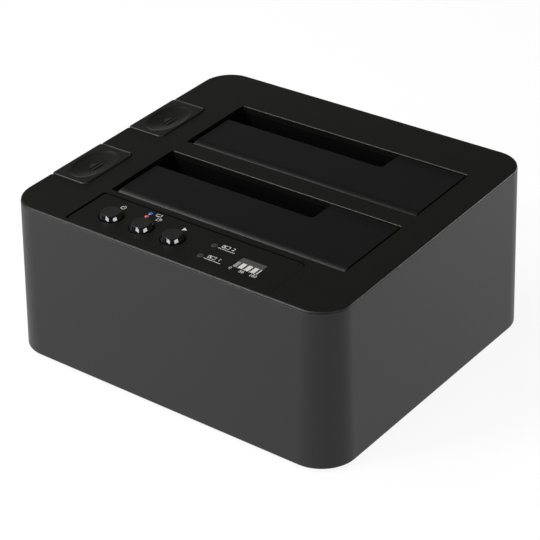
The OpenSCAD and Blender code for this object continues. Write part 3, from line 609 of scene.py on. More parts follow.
def wallLoft(profile, cornerSteps):
    # a ring round the body, through each line of the profile and back to the first
    bm = bmesh.new()
    stations = bodyStations(cornerSteps)
    rings = [[bm.verts.new(wallPoint(s, **line) * mm) for s in stations] for line in profile]
    for lower, upper in zip(rings, rings[1:] + rings[:1]):
        bridge(bm, lower, upper)
    bmesh.ops.recalc_face_normals(bm, faces=bm.faces)
    return bm


def keyCutters(side):
    # pocket behind the rim for a key and its travel, and the notch in the rim for the key's tab
    room = keyRoom
    left, right, front, rear = keyCap(side)
    body = keyBody(side)
    wide = room["flange"] + 2 * room["gap"]
    pocket = boxCutter((body - room["gap"], front - wide, -room["pocket"]),
                       (right, rear + wide, -dock["panel"] / 2), topFrame)
    notchDepth = room["tab"] + room["travel"] + room["gap"]
    past = panelLook["cutPast"]
    notch = boxCutter((left - past, front - room["gap"], -notchDepth),
                      (body, rear + room["gap"], past), topFrame)
    return pocket, notch


# Top panel

panelLook = dict(edge=0.65, openingEdge=0.4, seamSeen=0.05, cutPast=9.0, slotCorner=0.6, keyCorner=2.4,
                 keyGap=0.3, keyEnd=1.1, earLength=3.0, earRadius=3.0, earEdge=0.2,
                 stripGap=(1.1, 0.1, 0.02, 0.75), stripLedge=(3.0, 0.8), rimSteps=20, ringSteps=24, ringOut=3,
                 roundFaces=(0.05, 0.985))
slotSize = dict(width=103.0, depth=35.0)
sides = dict(front=mounts["front_drive_slot"]["pos_m"], rear=mounts["rear_drive_slot"]["pos_m"])


def slotCorners(side):
    # the slot's left, right, front and back, in the top's frame
    x, y = sides[side][0] / mm, sides[side][1] / mm
    half = slotSize["depth"] / 2
    return (x - slotSize["width"] / 2, x + slotSize["width"] / 2,
            (y - half) / math.cos(slope), (y + half) / math.cos(slope))


def keyCap(side):
    # left edge, right edge and both ends of a key's cap, in the top's frame
    low, high = boxOf(side + "_eject_button")
    flange = keyRoom["flange"]
    return low.x, high.x - flange, (low.y + flange) / math.cos(slope), (high.y - flange) / math.cos(slope)


def keyBody(side):
    # left side of a key's body, behind the sleeve's rim
    return keyCap(side)[0] + dock["rim"] + keyRoom["gap"] - dock["flush"]


def keyNotch(side, edgeX):
    # a key's opening, cut in from the left edge with small rounds where it meets that edge
    look = panelLook
    right, front, rear = keyCap(side)[1:]
    gap, r, e, outside = look["keyGap"], look["keyCorner"], look["keyEnd"], edgeX - look["cutPast"]
    outline = [(outside, rear + gap + e)] + arc((edgeX + e, rear + gap + e), e, 180, 270, 6)
    outline += arc((right + gap - r, rear + gap - r), r, 90, 0, 8)
    outline += arc((right + gap - r, front - gap + r), r, 0, -90, 8)
    return outline + arc((edgeX + e, front - gap - e), e, 90, 180, 6) + [(outside, front - gap - e)]


def makeTopPanel():
    look = panelLook
    back = topFrame.inverted()
    stations = bodyStations(look["rimSteps"])
    rim = [(back @ wallPoint(s, dock["flush"], fromTop=0.0)).to_2d().to_tuple() for s in stations]
    edgeX = rim[3 * len(stations) // 4 - 1][0]             # where the rear left corner ends
    plate = platePiece("topPanel", finishes["top_black"], [rim], 0.0, dock["panel"], look["edge"])
    past = look["cutPast"]
    openings = [keyNotch(side, edgeX) for side in sides]
    openings += [cornered(*slotCorners(side), (look["slotCorner"],) * 4, 4) for side in sides]
    rounders = []
    for side in sides:
        left, right, front, rear = slotCorners(side)
        rounders.append(edgeRounder(left + look["slotCorner"], right - look["slotCorner"], rear))
        left, right, front, rear = keyCap(side)
        right = right + look["keyGap"] - look["keyCorner"]
        rounders.append(edgeRounder(left - past, right, rear + look["keyGap"]))
    carve(plate, *[prism(outline, -past, past, topFrame) for outline in openings], *rounders)
    left, right, front, rear = stripCorners()
    gapLeft, gapRight, gapFront, gapBack = look["stripGap"]
    corners = stripLook["corners"]
    strip = cornered(left - gapLeft, right + gapRight, front - gapFront, rear + gapBack, corners)
    ends, edges = look["stripLedge"]                        # what the strip rests on
    through = cornered(left + ends, right - ends, front + edges, rear - edges, corners)
    # below its edge the lid steps in, behind the sleeve's rim
    step, deep = dock["lidEdge"] - look["seamSeen"], 2 * dock["panel"]
    inner, outer = dock["rim"] + dock["seam"], -look["ringOut"]
    ring = wallLoft([dict(inset=outer, fromTop=step), dict(inset=inner, fromTop=step),
                     dict(inset=inner, fromTop=deep), dict(inset=outer, fromTop=deep)], look["ringSteps"])
    carve(plate, prism(strip, topBox("control_panel")[0].z, past, topFrame),
          prism(through, -past, past, topFrame), newPiece("cutter", meshFrom(ring, "cutter")))
    plate.data.materials.append(edgeSheen)
    steep, level = look["roundFaces"]
    for face in plate.data.polygons:         # rounded edges are a little smoother than the flats
        face.material_index = int(steep < face.normal.dot(topWay) < level)
    ears = [makeEar(side, end) for side in sides for end in (0, 1)]
    piece = joinMeshes("topPanel", [plate] + ears)
    dress(piece, "housing", "top_black", "top_panel", sharpAngle=35)


def edgeRounder(left, right, rear):
    # what a small round takes off the rear edge of an opening; its other edges stay crisp
    e = panelLook["openingEdge"]
    section = arc((rear + e, -e), e, 90, 180, 6) + [(rear - e, -e), (rear - e, e), (rear + e, e)]
    return prism(section, left, right, topFrame @ endOn)


def pinMiddle(side):
    # where a flap's pin lies, from front to back and in height, in the top's frame
    low, high = topBox(side + "_door_pin")
    return (low.y + high.y) / 2, (low.z + high.z) / 2


def makeEar(side, end):
    # the lug that holds one end of a flap's pin
    look = panelLook
    left, right = slotCorners(side)[:2]
    r, length = look["earRadius"], look["earLength"]
    start = right if end else left - length
    y, z = pinMiddle(side)
    top = -dock["panel"] / 2
    outline = arc((y, z), r, 180, 360, 16) + [(y + r, top), (y - r, top)]
    turned = topFrame @ Matrix.Translation((start, 0, 0)) @ endOn
    return platePiece("ear", finishes["top_black"], [outline], length, length, look["earEdge"], turned)


# Control strip

buttons = ("power", "mode", "start")
stripLook = dict(edge=0.02, corners=(2.4, 2.4, 1.4, 1.0), buttonGap=0.2, lensGap=0.05, depth=20.7)


def stripCorners():
    # the strip's left, right, front and back, in the top's frame
    low, high = topBox("control_panel")
    return low.x, high.x, high.y - stripLook["depth"], high.y


def discOf(node):
    # middle and radius of a round node, in the top's frame
    low, high = topBox(node)
    return ((low.x + high.x) / 2, (low.y + high.y) / 2), (high.x - low.x) / 2


def makeControlStrip():
    look = stripLook
    low, high = topBox("control_panel")
    outlines = [cornered(*stripCorners(), look["corners"])]
    for name in buttons:
        outlines.append(circle(discOf(name + "_button")[0], capLook["radius"] + look["buttonGap"], 64))
    for spot, radius in lensSpots():
        outlines.append(circle(spot, radius + look["lensGap"], 32))
    outlines.append(windowOutline(windowLook["gap"], windowLook["holeCorner"]))
    piece = platePiece("controlStrip", finishes["strip_black"], outlines, 0.0, high.z - low.z, look["edge"])
    dress(piece, "housing", "strip_black", "control_panel", sharpAngle=35)


lensLook = dict(driveRadius=1.4, modeRadius=0.95, dome=0.10, rim=0.12, length=5.5)


def lensSpots():
    # each light pipe's middle and radius
    low, high = topBox("drive_light_lenses")
    x, flange = (low.x + high.x) / 2, (high.x - low.x) / 2
    spots = [((x, y), lensLook["driveRadius"]) for y in (low.y + flange, high.y - flange)]
    modes = ("computer_light_lens", "copy_light_lens")
    return spots + [(discOf(node)[0], lensLook["modeRadius"]) for node in modes]


def makeLens(name, spots, slot, node):
    # light pipes with a slightly domed end, level with the strip
    dome, rim, foot = lensLook["dome"], lensLook["rim"], -lensLook["length"]
    pieces = []
    for spot, r in spots:
        profile = [(0, 0.0), (r * 0.5, -dome * 0.25), (r - rim, -dome * 0.8), (r, -dome - rim),
                   (r, foot), (0, foot)]
        pieces.append(lathe(name, profile, topFrame @ Matrix.Translation((*spot, 0)), 40, finishes[slot]))
    piece = joinMeshes(name, pieces)
    dress(piece, "housing", slot, node, sharpAngle=50)


windowLook = dict(flange=0.4, corner=0.25, gap=0.1, holeCorner=0.3, sink=0.02, thickness=1.8, edge=0.12)


def windowOutline(grown, corner):
    # the window's face inside its hidden flange, grown by a gap for its hole
    low, high = topBox("progress_window")
    less = 2 * windowLook["flange"] - grown
    middle = ((low.x + high.x) / 2, (low.y + high.y) / 2)
    return roundedRect(middle, high.x - low.x - less, high.y - low.y - less, corner, 4)


def makeWindow():
    look = windowLook
    outline = windowOutline(0, look["corner"])
    piece = platePiece("progressWindow", finishes["window_smoke"], [outline], -look["sink"],
                       look["thickness"], look["edge"])
    dress(piece, "housing", "window_smoke", "progress_window", sharpAngle=35)


# Round buttons

capLook = dict(radius=4.5, topRadius=3.55, skirtHeight=1.7, skirtTilt=(31.0, 24.5), skirtSteps=10,
               topRound=0.3, discDish=((0, 0.05), (0.5, 0.04), (0.85, 0.01)), matteEnd=0.3,
               flangeThickness=0.9, flangeGap=0.05, stemRadius=1.8, turnSteps=96)


def makeRoundButton(name):
    # matte disc, polished sloping side, hidden flange and stem
    look = capLook
    low, high = topBox(name + "_button")
    spot, flange = discOf(name + "_button")
    rise, t, e = high.z, look["topRadius"], look["topRound"]
    disc = [(t * share, rise - sink) for share, sink in look["discDish"]] + [(t - e, rise)]
    shoulder = arc((t - e, rise - e), e, 78, 30, 4)
    skirt, steps = [shoulder[-1]], look["skirtSteps"]
    first, last = look["skirtTilt"]       # the side grows steeper towards its foot
    drop = (shoulder[-1][1] - rise + look["skirtHeight"]) / steps
    for i in range(steps):
        tilt = math.radians(first + (last - first) * (i + 0.5) / steps)
        skirt.append((skirt[-1][0] + drop * math.tan(tilt), skirt[-1][1] - drop))
    top = topBox("control_panel")[0].z - look["flangeGap"]
    under, stem = top - look["flangeThickness"], look["stemRadius"]
    below = [(skirt[-1][0], top), (flange, top), (flange, under), (stem, under), (stem, low.z), (0, low.z)]
    place = topFrame @ Matrix.Translation((*spot, 0))
    piece = lathe(name + "Cap", disc + shoulder + skirt[1:] + below, place, look["turnSteps"],
                  finishes["button_gloss"], capMatte)
    matteFrom = (rise - e * look["matteEnd"]) * mm
    origin = topFrame.to_translation() * mm
    for face in piece.data.polygons:
        face.material_index = int((face.center - origin).dot(topWay) > matteFrom)
    dress(piece, name + "_key", "button_gloss", name + "_button", sharpAngle=22)


# Flaps

flapLook = dict(thickness=2.0, barrel=2.3, roll=2.6, leftGap=1.7, rightGap=1.1, endGap=0.3, notchWidth=72.9,
                notchDepth=11.4, notchCorner=1.8, edge=0.35, ribThickness=1.6, ribDepth=1.6, ribInto=0.25,
                ribStart=0.6, ribEnd=4.0, ribInset=(4, 6), ribCorner=0.3, ribEdge=0.2, pinBore=1.05,
                pocket=7.0, coilRoom=1.78, cutPast=5, cutRise=9)


def makeFlap(side):
    look = flapLook
    left, right = slotCorners(side)[:2]
    barrel, past, black = look["barrel"], look["cutPast"], finishes["door_black"]
    hinge = topFrame @ Matrix.Translation((0, *pinMiddle(side)))
    along = hinge @ endOn       # its Z runs along the pin
    x0, x2 = left + look["leftGap"], right - look["rightGap"]
    end = slotSize["depth"] - 2 * look["endGap"] - barrel
    notch = end + look["endGap"] - look["notchDepth"]
    under = barrel - look["thickness"]
    lowest = math.degrees(math.asin(under / barrel))
    # the hinge edge falls away in a wide roll, then follows the barrel round the pin
    roll = [(look["roll"] + (barrel + look["roll"]) * y, barrel * z) for y, z in arc((0, 0), 1, 90, 180, 24)]
    profile = [(end, barrel)] + roll + arc((0, 0), barrel, 180, 360 + lowest, 28)[1:] + [(end, under)]
    piece = prism(profile, x0, x2, along)
    cut = cornered(x0 - past, left + look["notchWidth"], notch, end + past, (look["notchCorner"], 1, 1, 1))
    carve(piece, prism(cut, -look["cutRise"], look["cutRise"], hinge))
    piece.data.materials.append(black)
    smoothOver(piece, 35, look["edge"], bevelAngle=50)
    parts = [piece]
    ribLeft, ribRight = look["ribInset"]
    ribRear = notch - look["endGap"] - look["ribEnd"]
    for x in (x0 + ribLeft, x0 + look["notchWidth"] / 2, x2 - ribRight):
        corners = (look["ribCorner"],) * 4
        outline = cornered(x, x + look["ribThickness"], look["ribStart"], ribRear, corners, 3)
        parts.append(platePiece("rib", black, [outline], under + look["ribInto"], look["ribDepth"],
                                look["ribEdge"], hinge))
    middle, half = sides[side][0] / mm, look["pocket"] / 2
    carve(piece, prism(circle((0, 0), look["pinBore"], 32), x0 - past, x2 + past, along))
    carve(piece, prism(circle((0, 0), look["coilRoom"], 32), middle - half, middle + half, along),
          boxCutter((middle - half, -barrel - 1, -barrel - 1), (middle + half, barrel, 0), hinge))
    piece = joinMeshes(side + "Flap", parts)
    dress(piece, side + "_flap", "door_black", side + "_door", sharpAngle=35)


# Eject keys

keyLook = dict(corner=2.4, endCorner=1.1, leastCorner=0.25, leastEndCorner=0.15, cornerSteps=8,
               sideSteps=(14, 24), edge=0.55, edgeSteps=6, flatShares=(0.3, 0.6, 0.85), dishLength=11.6,
               dishWidth=6.8, dishDepth=1.3, dishCurve=1.4, dishSteps=16, dishRim=0.3, lipReach=0.14,
               markHeight=0.45, markThickness=0.8, markEdge=0.1, blockCorner=0.3, blockInto=0.05,
               blockEdge=0.1, flangeHeight=3.0, flangeGap=0.05, flangeCorner=0.4, flangeEdge=0.2, plunger=2.5,
               plungerIn=7.0)


def keyRing(cap, inset):
    # the cap's outline drawn in by a distance, with points spread evenly along its sides
    look = keyLook
    left, right, front, rear = cap
    big = max(look["corner"] - inset, look["leastCorner"])
    small = max(look["endCorner"] - inset, look["leastEndCorner"])
    steps, radii = look["cornerSteps"], (big, big, small, small)
    points = cornered(left + inset, right - inset, front + inset, rear - inset, radii, steps)
    spread = []
    for k, count in enumerate(look["sideSteps"] * 2):
        after = (steps + 1) * (k + 1)
        corner = points[after - steps - 1:after]
        (ax, ay), (bx, by) = corner[-1], points[after % len(points)]
        spread += corner + [(ax + (bx - ax) * i / count, ay + (by - ay) * i / count) for i in range(1, count)]
    return spread


def keyTop(side, cap, middle, rise):
    # the cap: a rounded edge, a flat rim and an oval dish with a soft lip
    look = keyLook
    e = look["edge"]
    rings = [[(x, y, -keyRoom["tab"]) for x, y in keyRing(cap, 0.0)]]
    for inward, up in arc((e, 0), e, 180, 90, look["edgeSteps"]):
        rings.append([(x, y, rise - e + up) for x, y in keyRing(cap, inward)])
    ways = [Vector(p[:2]) - middle for p in rings[-1]]
    oval = [w / math.hypot(w.x / look["dishWidth"], w.y / look["dishLength"]) for w in ways]
    for share in look["flatShares"]:
        rings.append([(*(middle + w.lerp(o, share)), rise) for w, o in zip(ways, oval)])
    for i in range(look["dishSteps"]):
        reach = 1 - i / look["dishSteps"]
        lip = min(1.0, (1 - reach) / look["lipReach"])
        depth = (look["dishDepth"] - look["dishRim"]) * (1 - reach ** 2) ** look["dishCurve"]
        depth += look["dishRim"] * lip * lip * (3 - 2 * lip)
        rings.append([(*(middle + o * reach), rise - depth) for o in oval])
    bm = bmesh.new()
    loops = [[bm.verts.new(p) for p in ring] for ring in rings]
    for lower, upper in zip(loops, loops[1:]):
        bridge(bm, lower, upper)
    pole = bm.verts.new((*middle, rise - look["dishDepth"]))
    for a, b in zip(loops[-1], loops[-1][1:] + loops[-1][:1]):
        bm.faces.new((a, b, pole))
    bm.faces.new(list(reversed(loops[0])))
    return placed(side + "Key", bm, topFrame, finishes["key_black"])


def makeKey(side):
    look, room, black = keyLook, keyRoom, finishes["key_black"]
    cap = keyCap(side)
    right, front, rear = cap[1:]
    rise = topBox(side + "_eject_button")[1].z
    body = keyBody(side)
    middle = Vector(((body + right) / 2, (front + rear) / 2))
    under, wide, height = -dock["panel"] - look["flangeGap"], room["flange"], look["flangeHeight"]
    block = cornered(body, right, front, rear, (look["corner"],) * 2 + (look["blockCorner"],) * 2)
    flange = cornered(body, right + wide, front - wide, rear + wide, (look["flangeCorner"],) * 4, 4)
    parts = [keyTop(side, cap, middle, rise),
             platePiece("block", black, [block], look["blockInto"] - room["tab"],
                        height - room["tab"] - under, look["blockEdge"]),
             platePiece("flange", black, [flange], under, height, look["flangeEdge"])]
    parts += keyMark(middle, rise - look["dishDepth"])
    low, high = boxOf(side + "_eject_button")
    r, head = look["plunger"], high.z - look["plungerIn"]
    stem = arc((0, low.z + r), r, -90, 0, 9) + [(r, head), (0, head)]
    y = (topFrame @ Vector((*middle, 0))).y
    parts.append(lathe("plunger", stem, Matrix.Translation((middle.x, y, 0)), 32, black))
    piece = joinMeshes(side + "Key", parts)
    dress(piece, side + "_eject_key", "key_black", side + "_eject_button", sharpAngle=50)


def keyMark(middle, height):
    # raised eject sign in the dish: a triangle and a bar, pointing to the dock's edge, lighter in colour as a
    # painted glint
    look = keyLook
    triangle = [(0.3, -3.0), (0.3, 3.0), (-2.1, 0.0)]
    bar = [(0.9, -3.0), (1.8, -3.0), (1.8, 3.0), (0.9, 3.0)]
    outlines = [[(middle.x + x, middle.y + y) for x, y in shape] for shape in (triangle, bar)]
    return [platePiece("mark", keySheen, [outline], height + look["markHeight"], look["markThickness"],
                       look["markEdge"]) for outline in outlines]


# Base

baseLook = dict(thickness=2.4, edge=0.4, inset=2.4, rimSteps=14, ventWidth=3.0, ventLength=50.0,
                ventPitch=8.0, vents=9, ventRound=1.49, holeEdge=0.2, screwHole=2.8, footHole=6.2,
                footSink=0.6, cutPast=1)
footLook = dict(radius=6.0, height=2.1, bevel=0.6, cup=0.25, cupShares=(0.55, 0.62))
screwLook = dict(radius=2.6, crown=((0.6, 0.05), (0.9, 0.3), (1.0, 0.7)), head=1.4, shank=1.25,
                 slot=(1.5, 0.36), slotDepth=0.8)


def makeBase():
    look = baseLook
    thickness, past, pitch = look["thickness"], look["cutPast"], look["ventPitch"]
    width, length = look["ventWidth"], look["ventLength"] + look["ventWidth"]
    flat = Matrix.Translation((0, 0, boxOf("base_cover")[0].z))
    rim = [wallPoint(s, look["inset"], fromBase=thickness / 2).to_2d().to_tuple()
           for s in bodyStations(look["rimSteps"])]
    first = sides["front"][0] / mm - (look["vents"] - 1) / 2 * pitch
    middles = [(first + i * pitch, 0) for i in range(look["vents"])]
    holes = [roundedRect(middle, width, length, look["ventRound"]) for middle in middles]
    holes += [circle(spot, look["screwHole"], 32) for spot in cornerSpots("base_screws", screwLook["radius"])]
    seats = [circle(spot, look["footHole"]) for spot in cornerSpots("rubber_feet", footLook["radius"])]
    piece = platePiece("basePlate", finishes["base_black"], [rim], thickness, thickness, look["edge"], flat)
    carve(piece, *[prism(outline, -past, thickness + past, flat) for outline in holes],
          *[prism(outline, -past, look["footSink"], flat) for outline in seats])
    smoothOver(piece, 35, look["holeEdge"], segments=2, bevelAngle=60)
    dress(piece, "housing", "base_black", "base_cover")


def cornerSpots(node, half):
    # middles of four equal round pieces, one in each corner
    low, high = boxOf(node)
    return [(x, y) for x in (low.x + half, high.x - half) for y in (low.y + half, high.y - half)]


def makeFeet():
    look = footLook
    r, b, cup, height = look["radius"], look["bevel"], look["cup"], look["height"]
    inner, outer = [r * share for share in look["cupShares"]]
    profile = [(0, cup), (inner, cup), (outer, 0.0), (r - b, 0.0)] + arc((r - b, b), b, -72, 0, 4)
    template = lathe("foot", profile + [(r, height), (0, height)], Matrix.Identity(4), 48)
    spots = [(*spot, 0) for spot in cornerSpots("rubber_feet", r)]
    piece = copiesAt("rubberFeet", template, spots, finishes["foot_rubber"])
    dress(piece, "housing", "foot_rubber", "rubber_feet")


def makeBaseScrews():
    # pan heads with a cross slot, seen from below
    look = screwLook
    low, high = boxOf("base_screws")
    r, shank, head, end = look["radius"], look["shank"], look["head"], high.z - low.z
    crown = [(0, 0.0)] + [(r * share, height) for share, height in look["crown"]]
    profile = crown + [(r, head), (shank, head), (shank, end), (0, end)]
    template = lathe("screw", profile, Matrix.Identity(4), 32)
    a, b = look["slot"]
    carve(template, *[boxCutter((-x, -y, -1), (x, y, look["slotDepth"])) for x, y in ((a, b), (b, a))])
    spots = [(*spot, low.z) for spot in cornerSpots("base_screws", r)]
    piece = copiesAt("baseScrews", template, spots, finishes["screw_steel"])
    dress(piece, "housing", "screw_steel", "base_screws")


# Springs: a coiled wire round each flap's pin and under each key

springLook = dict(flapWire=0.25, coilRadius=1.37, turns=4.75, length=5.0, legStart=4.0, legEnd=9.0,
                  wallGap=2.8, keyWire=0.4, keyTurns=7, turnSteps=24, wireSteps=4)


def coil(radius, length, turns):
    # points of a helix about Z that begins on X; turns below zero wind the other way
    steps = round(springLook["turnSteps"] * abs(turns))
    angles = [2 * math.pi * turns * i / steps for i in range(steps + 1)]
    return [(radius * math.cos(a), radius * math.sin(a), length * i / steps) for i, a in enumerate(angles)]


def wirePiece(name, points, radius, place):
    mesh = linesMesh(name, [points], False, place, dimensions="3D", bevel_depth=radius,
                     bevel_resolution=springLook["wireSteps"], use_fill_caps=True)
    return smoothOver(newPiece(name, mesh, finishes["spring_steel"]), 60)


def makeFlapSpring(side):
    look = springLook
    hinge = Vector(joints[side + "_flap_hinge"]["pos_m"])
    lean = look["legEnd"] * math.tan(slope) - look["wallGap"]
    # one leg lies under the flap and the other stands against the well's front wall
    points = [(0, look["legEnd"], 0), (0, look["legStart"], 0)]
    points += coil(look["coilRadius"], look["length"], -look["turns"])
    points += [(look["legStart"], 0, look["length"]), (look["legEnd"], lean, look["length"])]
    place = Matrix.Translation(hinge / mm) @ Matrix.Rotation(slope, 4, "X")
    place = place @ Matrix.Rotation(math.pi / 2, 4, "Y") @ Matrix.Translation((0, 0, -look["length"] / 2))
    piece = wirePiece(side + "FlapSpring", points, look["flapWire"], place)
    side + "_flap"
    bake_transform(piece)
    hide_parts(side + "_door_spring")


def makeKeySpring(side):
    look = springLook
    wire = look["keyWire"]
    node = side + "_eject_spring"
    low, high = boxOf(node)
    seat = Vector(((low.x + high.x) / 2, (low.y + high.y) / 2, low.z))
    height = high.z - low.z
    points = coil((high.x - low.x) / 2 - wire, height - 2 * wire, look["keyTurns"])
    place = Matrix.Translation(seat) @ Matrix.Translation((0, 0, wire))
    piece = wirePiece(side + "KeySpring", points, wire, place)
    dress(piece, "housing", "spring_steel", node)
    travel = joints[side + "_eject_slide"]["range_m"][1] / mm
    side + "_eject_slide"
    1 - travel / height
    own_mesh(piece)


# Ports: they keep their CAD form, with softened edges

portLook = dict(socketEdge=0.15, jackEdge=0.2, weld=1e-6, flatAngle=1.0)


def softenNode(node, slot, edge):
    bm = bmesh.new()
    bm.from_mesh(frame["nodes"][node].data)
    bmesh.ops.remove_doubles(bm, verts=bm.verts, dist=portLook["weld"])
    level = math.radians(portLook["flatAngle"])
    bmesh.ops.dissolve_limit(bm, angle_limit=level, verts=bm.verts, edges=bm.edges)
    piece = newPiece(node + ".soft", meshFrom(bm, node), finishes[slot])
    smoothOver(piece, 30, edge, segments=2, bevelAngle=40)
    dress(piece, "housing", slot, node)


# Printed marks

inkLook = dict(thickness=0.06, barThickness=0.08, raised=0.7, edge=0.01, digitDepth=0.03, digitLift=0.02,
               digitShare=0.7)


def flatInk(outline, thickness=inkLook["thickness"]):
    return flatPlate("ink", [outline], thickness * inkLook["raised"], thickness, inkLook["edge"], edgeSteps=0)


def inkNumber(number, height, spot):
    # a plain numeral, read from the front
    letters = bpy.data.curves.new("numeral", "FONT")
    letters.body = number
    letters.size = height / inkLook["digitShare"]
    letters.align_x = letters.align_y = "CENTER"
    letters.extrude = inkLook["digitDepth"]
    return curveMesh(letters, topFrame @ Matrix.Translation((*spot, inkLook["digitLift"])))


def inkBar(middle, width, depth):
    x, y = middle
    w, d = width / 2, depth / 2
    return [(x - w, y - d), (x + w, y - d), (x + w, y + d), (x - w, y + d)]


def inkArc(middle, radius, width, start, end):
    return arc(middle, radius + width / 2, start, end, 28) + arc(middle, radius - width / 2, end, start, 28)


markLook = dict(
    power=(-31.9, -44.7), start=(-3.9, -44.7), modeUpper=(-17.6, -42.3), modeLower=(-15.6, -44.5),
    drives=(((16.9, -46.2), "2"), ((16.9, -54.1), "1")), underline=(7.2, 0.22, 1.7), inkWidth=0.28,
    driveDigit=1.7, scale=((24.7, "0"), (29.4, "50"), (34.2, "100")), scaleY=-55.9, scaleDigit=1.4)


def makeMarks():
    # signs are drawn in millimetres about their own spots
    look = markLook
    w = look["inkWidth"]
    thin = w * 0.7
    x, y = look["power"]
    shapes = [inkArc((x, y), 0.95, w, -235, 55), inkBar((x, y + 0.75), w, 1.2)]
    x, y = look["start"]
    shapes += [[(x - 0.8, y - 1.0), (x + 1.1, y), (x - 0.8, y + 1.0)]]
    x, y = look["modeUpper"]       # a screen on its foot
    shapes += frameOutline((x, y + 0.2), 2.2, 1.2, thin) + [inkBar((x, y - 0.75), 1.3, thin)]
    x, y = look["modeLower"]       # two sheets, one behind the other
    shapes += frameOutline((x - 0.35, y - 0.2), 1.3, 1.3, thin)
    shapes += [inkBar((x + 0.15, y + 0.85), 1.3, thin), inkBar((x + 0.7, y + 0.3), thin, 1.3)]
    meshes = [flatInk(s) for s in shapes]
    width, depth, below = look["underline"]
    for (x, y), number in look["drives"]:
        signs = frameOutline((x - 1.3, y), 3.0, 1.5, w * 0.8) + [circle((x - 1.9, y), 0.4, 20)]
        meshes += [flatInk(s) for s in signs]
        meshes.append(inkNumber(number, look["driveDigit"], (x + 1.9, y)))
        meshes.append(flatInk(inkBar((x, y - below), width, depth)))
    meshes += [inkNumber(number, look["scaleDigit"], (x, look["scaleY"])) for x, number in look["scale"]]
    piece = joinMeshes("panelMarks", [newPiece("marks", m, whiteInk) for m in meshes])
    dress(piece, "housing", "led_white")


def frameOutline(middle, width, depth, line):
    # a thin rectangle drawn as four bars
    x, y = middle
    return [inkBar((x, y + depth / 2), width + line, line), inkBar((x, y - depth / 2), width + line, line),
            inkBar((x - width / 2, y), line, depth - line), inkBar((x + width / 2, y), line, depth - line)]


barLook = dict(front=-54.4, back=-51.2, starts=(24.6, 26.75, 29.3, 31.85, 34.4),
               widths=(1.4, 1.7, 1.75, 1.7, 0.4))


def makeProgressBars():
    look = barLook
    front, back = look["front"], look["back"]
    pieces = []
    for start, width in zip(look["starts"], look["widths"]):
        outline = inkBar((start + width / 2, (front + back) / 2), width, back - front)
        ink = paleInk if pieces else greyInk      # the first bar is dim
        pieces.append(newPiece("bar", flatInk(outline, inkLook["barThickness"]), ink))
    dress(joinMeshes("progressBars", pieces), "housing", "led_white")


# Stage: floor, light and camera

cameraView = dict(azimuth=37.21, elevation=30.169, roll=-0.926, focalPixels=1821.64, imageSize=540,
                  sensor=36.0, clip=(0.01, 20.0),
                  bodyInView=(1.079, -22.09, 693.38))   # the body's foot: right, up and away, in millimetres


def facing(azimuth, elevation):
    # the way from the dock to the lens or a lamp, in degrees right of the front and above the table
    turn, lift = math.radians(azimuth), math.radians(elevation)
    return Vector((math.sin(turn) * math.cos(lift), -math.cos(turn) * math.cos(lift), math.sin(lift)))


def makeCamera():
    view = cameraView
    away = -facing(view["azimuth"], view["elevation"])
    right = away.cross(Vector((0, 0, 1))).normalized()
    up = right.cross(away)
    roll = math.radians(view["roll"])
    right, up = (right * math.cos(roll) + up * math.sin(roll), up * math.cos(roll) - right * math.sin(roll))
    offset = view["bodyInView"]
    spot = Vector((0, 0, sleeveLow.z)) - right * offset[0] - up * offset[1] - away * offset[2]
    lens = bpy.data.cameras.new("camera")
    lens.sensor_width = view["sensor"]
    lens.lens = view["focalPixels"] / view["imageSize"] * view["sensor"]
    lens.clip_start, lens.clip_end = view["clip"]
    camera = newPiece("camera", lens)
    turn = Matrix((right, up, -away)).transposed().to_4x4()
    camera.matrix_world = Matrix.Translation(spot * mm) @ turn
    bpy.context.scene.camera = camera


lampTarget = Vector((0, 0, 0.045))
# each lamp's azimuth, elevation, distance, size and power
lampLook = dict(
    leftKey=(-72, 52, 0.9, (0.5, 0.45), 5.6),
    edgeKey=(-30, 38, 0.9, (0.3, 0.1), 6.2),
    leftLow=(-40, -1.2, 0.9, (0.5, 0.045), 2.4),
    backLow=(-148, 7, 0.9, (0.7, 0.14), 0.35),
    rightLow=(142, -1.2, 0.9, (0.9, 0.045), 5.4),
    frontTop=(10, 70, 1.0, (0.4, 0.4), 2.6),
    leftStrip=(-4, 19.4, 0.8, (0.42, 0.115), 1.45),
    rightStrip=(71, 22.7, 0.8, (0.5, 0.117), 1.7))


def makeLamps():
    for name, (azimuth, elevation, distance, size, power) in lampLook.items():
        way = facing(azimuth, elevation)
        lamp = bpy.data.lights.new(name, "AREA")
        lamp.shape = "RECTANGLE"
        lamp.size, lamp.size_y = size
        lamp.energy = power
        turn = way.to_track_quat("Z", "Y").to_matrix().to_4x4()
        newPiece(name, lamp).matrix_world = Matrix.Translation(lampTarget + way * distance) @ turn


stageLook = dict(floorHalf=12.0, floorGrey=0.85, floorDrift=0.01, driftSize=0.4, shadowShare=0.10,
                 worldLight=0.08)


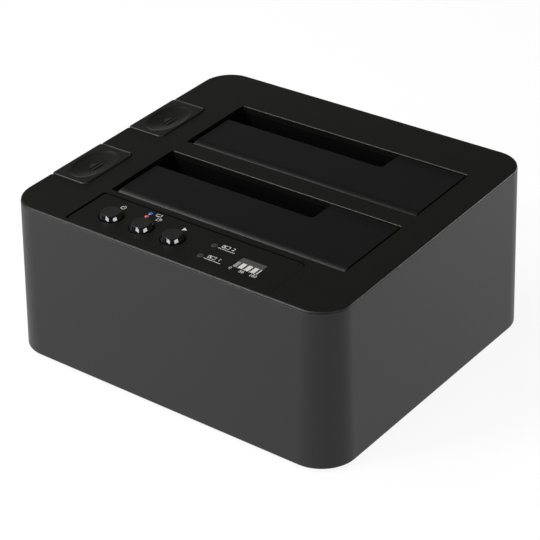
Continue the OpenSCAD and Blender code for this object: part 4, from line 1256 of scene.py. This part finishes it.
def makeStage():
    look = stageLook
    bm = bmesh.new()
    bmesh.ops.create_grid(bm, x_segments=1, y_segments=1, size=look["floorHalf"])
    floor = newPiece("floor", meshFrom(bm, "floor"))
    paint = Finish("floorPaint", roughness=0.9, specular=0.1)
    level, drift = look["floorGrey"], look["floorDrift"]
    slow = paint.grain(look["driftSize"])
    paint.feed(color=paint.between(slow, grey(level - drift), grey(level + drift)))
    # white to the lens and in reflections, with part of the lit floor mixed in to keep the shadow
    rays = [paint.node("ShaderNodeLightPath", output=name)
            for name in ("Is Camera Ray", "Is Glossy Ray", "Is Transmission Ray")]
    glow = paint.node("ShaderNodeEmission", {"Color": grey(1.0), "Strength": 1.0})
    mixed = paint.node("ShaderNodeMixShader", {
        0: (rays[0] + rays[1] + rays[2]) * (1 - look["shadowShare"]),
        1: Wire(paint.tree, paint.shader.outputs[0]), 2: glow})
    output = [n for n in paint.tree.nodes if n.type == "OUTPUT_MATERIAL"][0]
    plug(paint.tree, output.inputs["Surface"], mixed)
    floor.data.materials.append(paint.material)
    world = bpy.data.worlds.new("studio")
    bpy.context.scene.world = world
    world.use_nodes = True
    sky = world.node_tree.nodes["Background"]
    sky.inputs["Strength"].default_value = look["worldLight"]
    sky.inputs["Color"].default_value = grey(1.0)
    bpy.context.scene.view_settings.view_transform = "Standard"


makeCamera()
makeLamps()
makeStage()
print("stage set")
makeSleeve()
print("sleeve made")
makeTopPanel()
makeControlStrip()
lenses = lensSpots()
makeLens("driveLights", lenses[:2], "lens_clear", "drive_light_lenses")
makeLens("computerLight", lenses[2:3], "lens_blue", "computer_light_lens")
makeLens("copyLight", lenses[3:], "lens_red", "copy_light_lens")
makeWindow()
makeProgressBars()
makeMarks()
print("top and strip made")
for name in buttons:
    makeRoundButton(name)
for side in sides:
    makeFlap(side)
    makeFlapSpring(side)
    makeKey(side)
    makeKeySpring(side)
print("buttons, flaps, keys and springs made")
makeBase()
makeFeet()
makeBaseScrews()
softenNode("usb_port", "port_steel", portLook["socketEdge"])
softenNode("dc_jack", "connector_black", portLook["jackEdge"])
print("base and ports made")
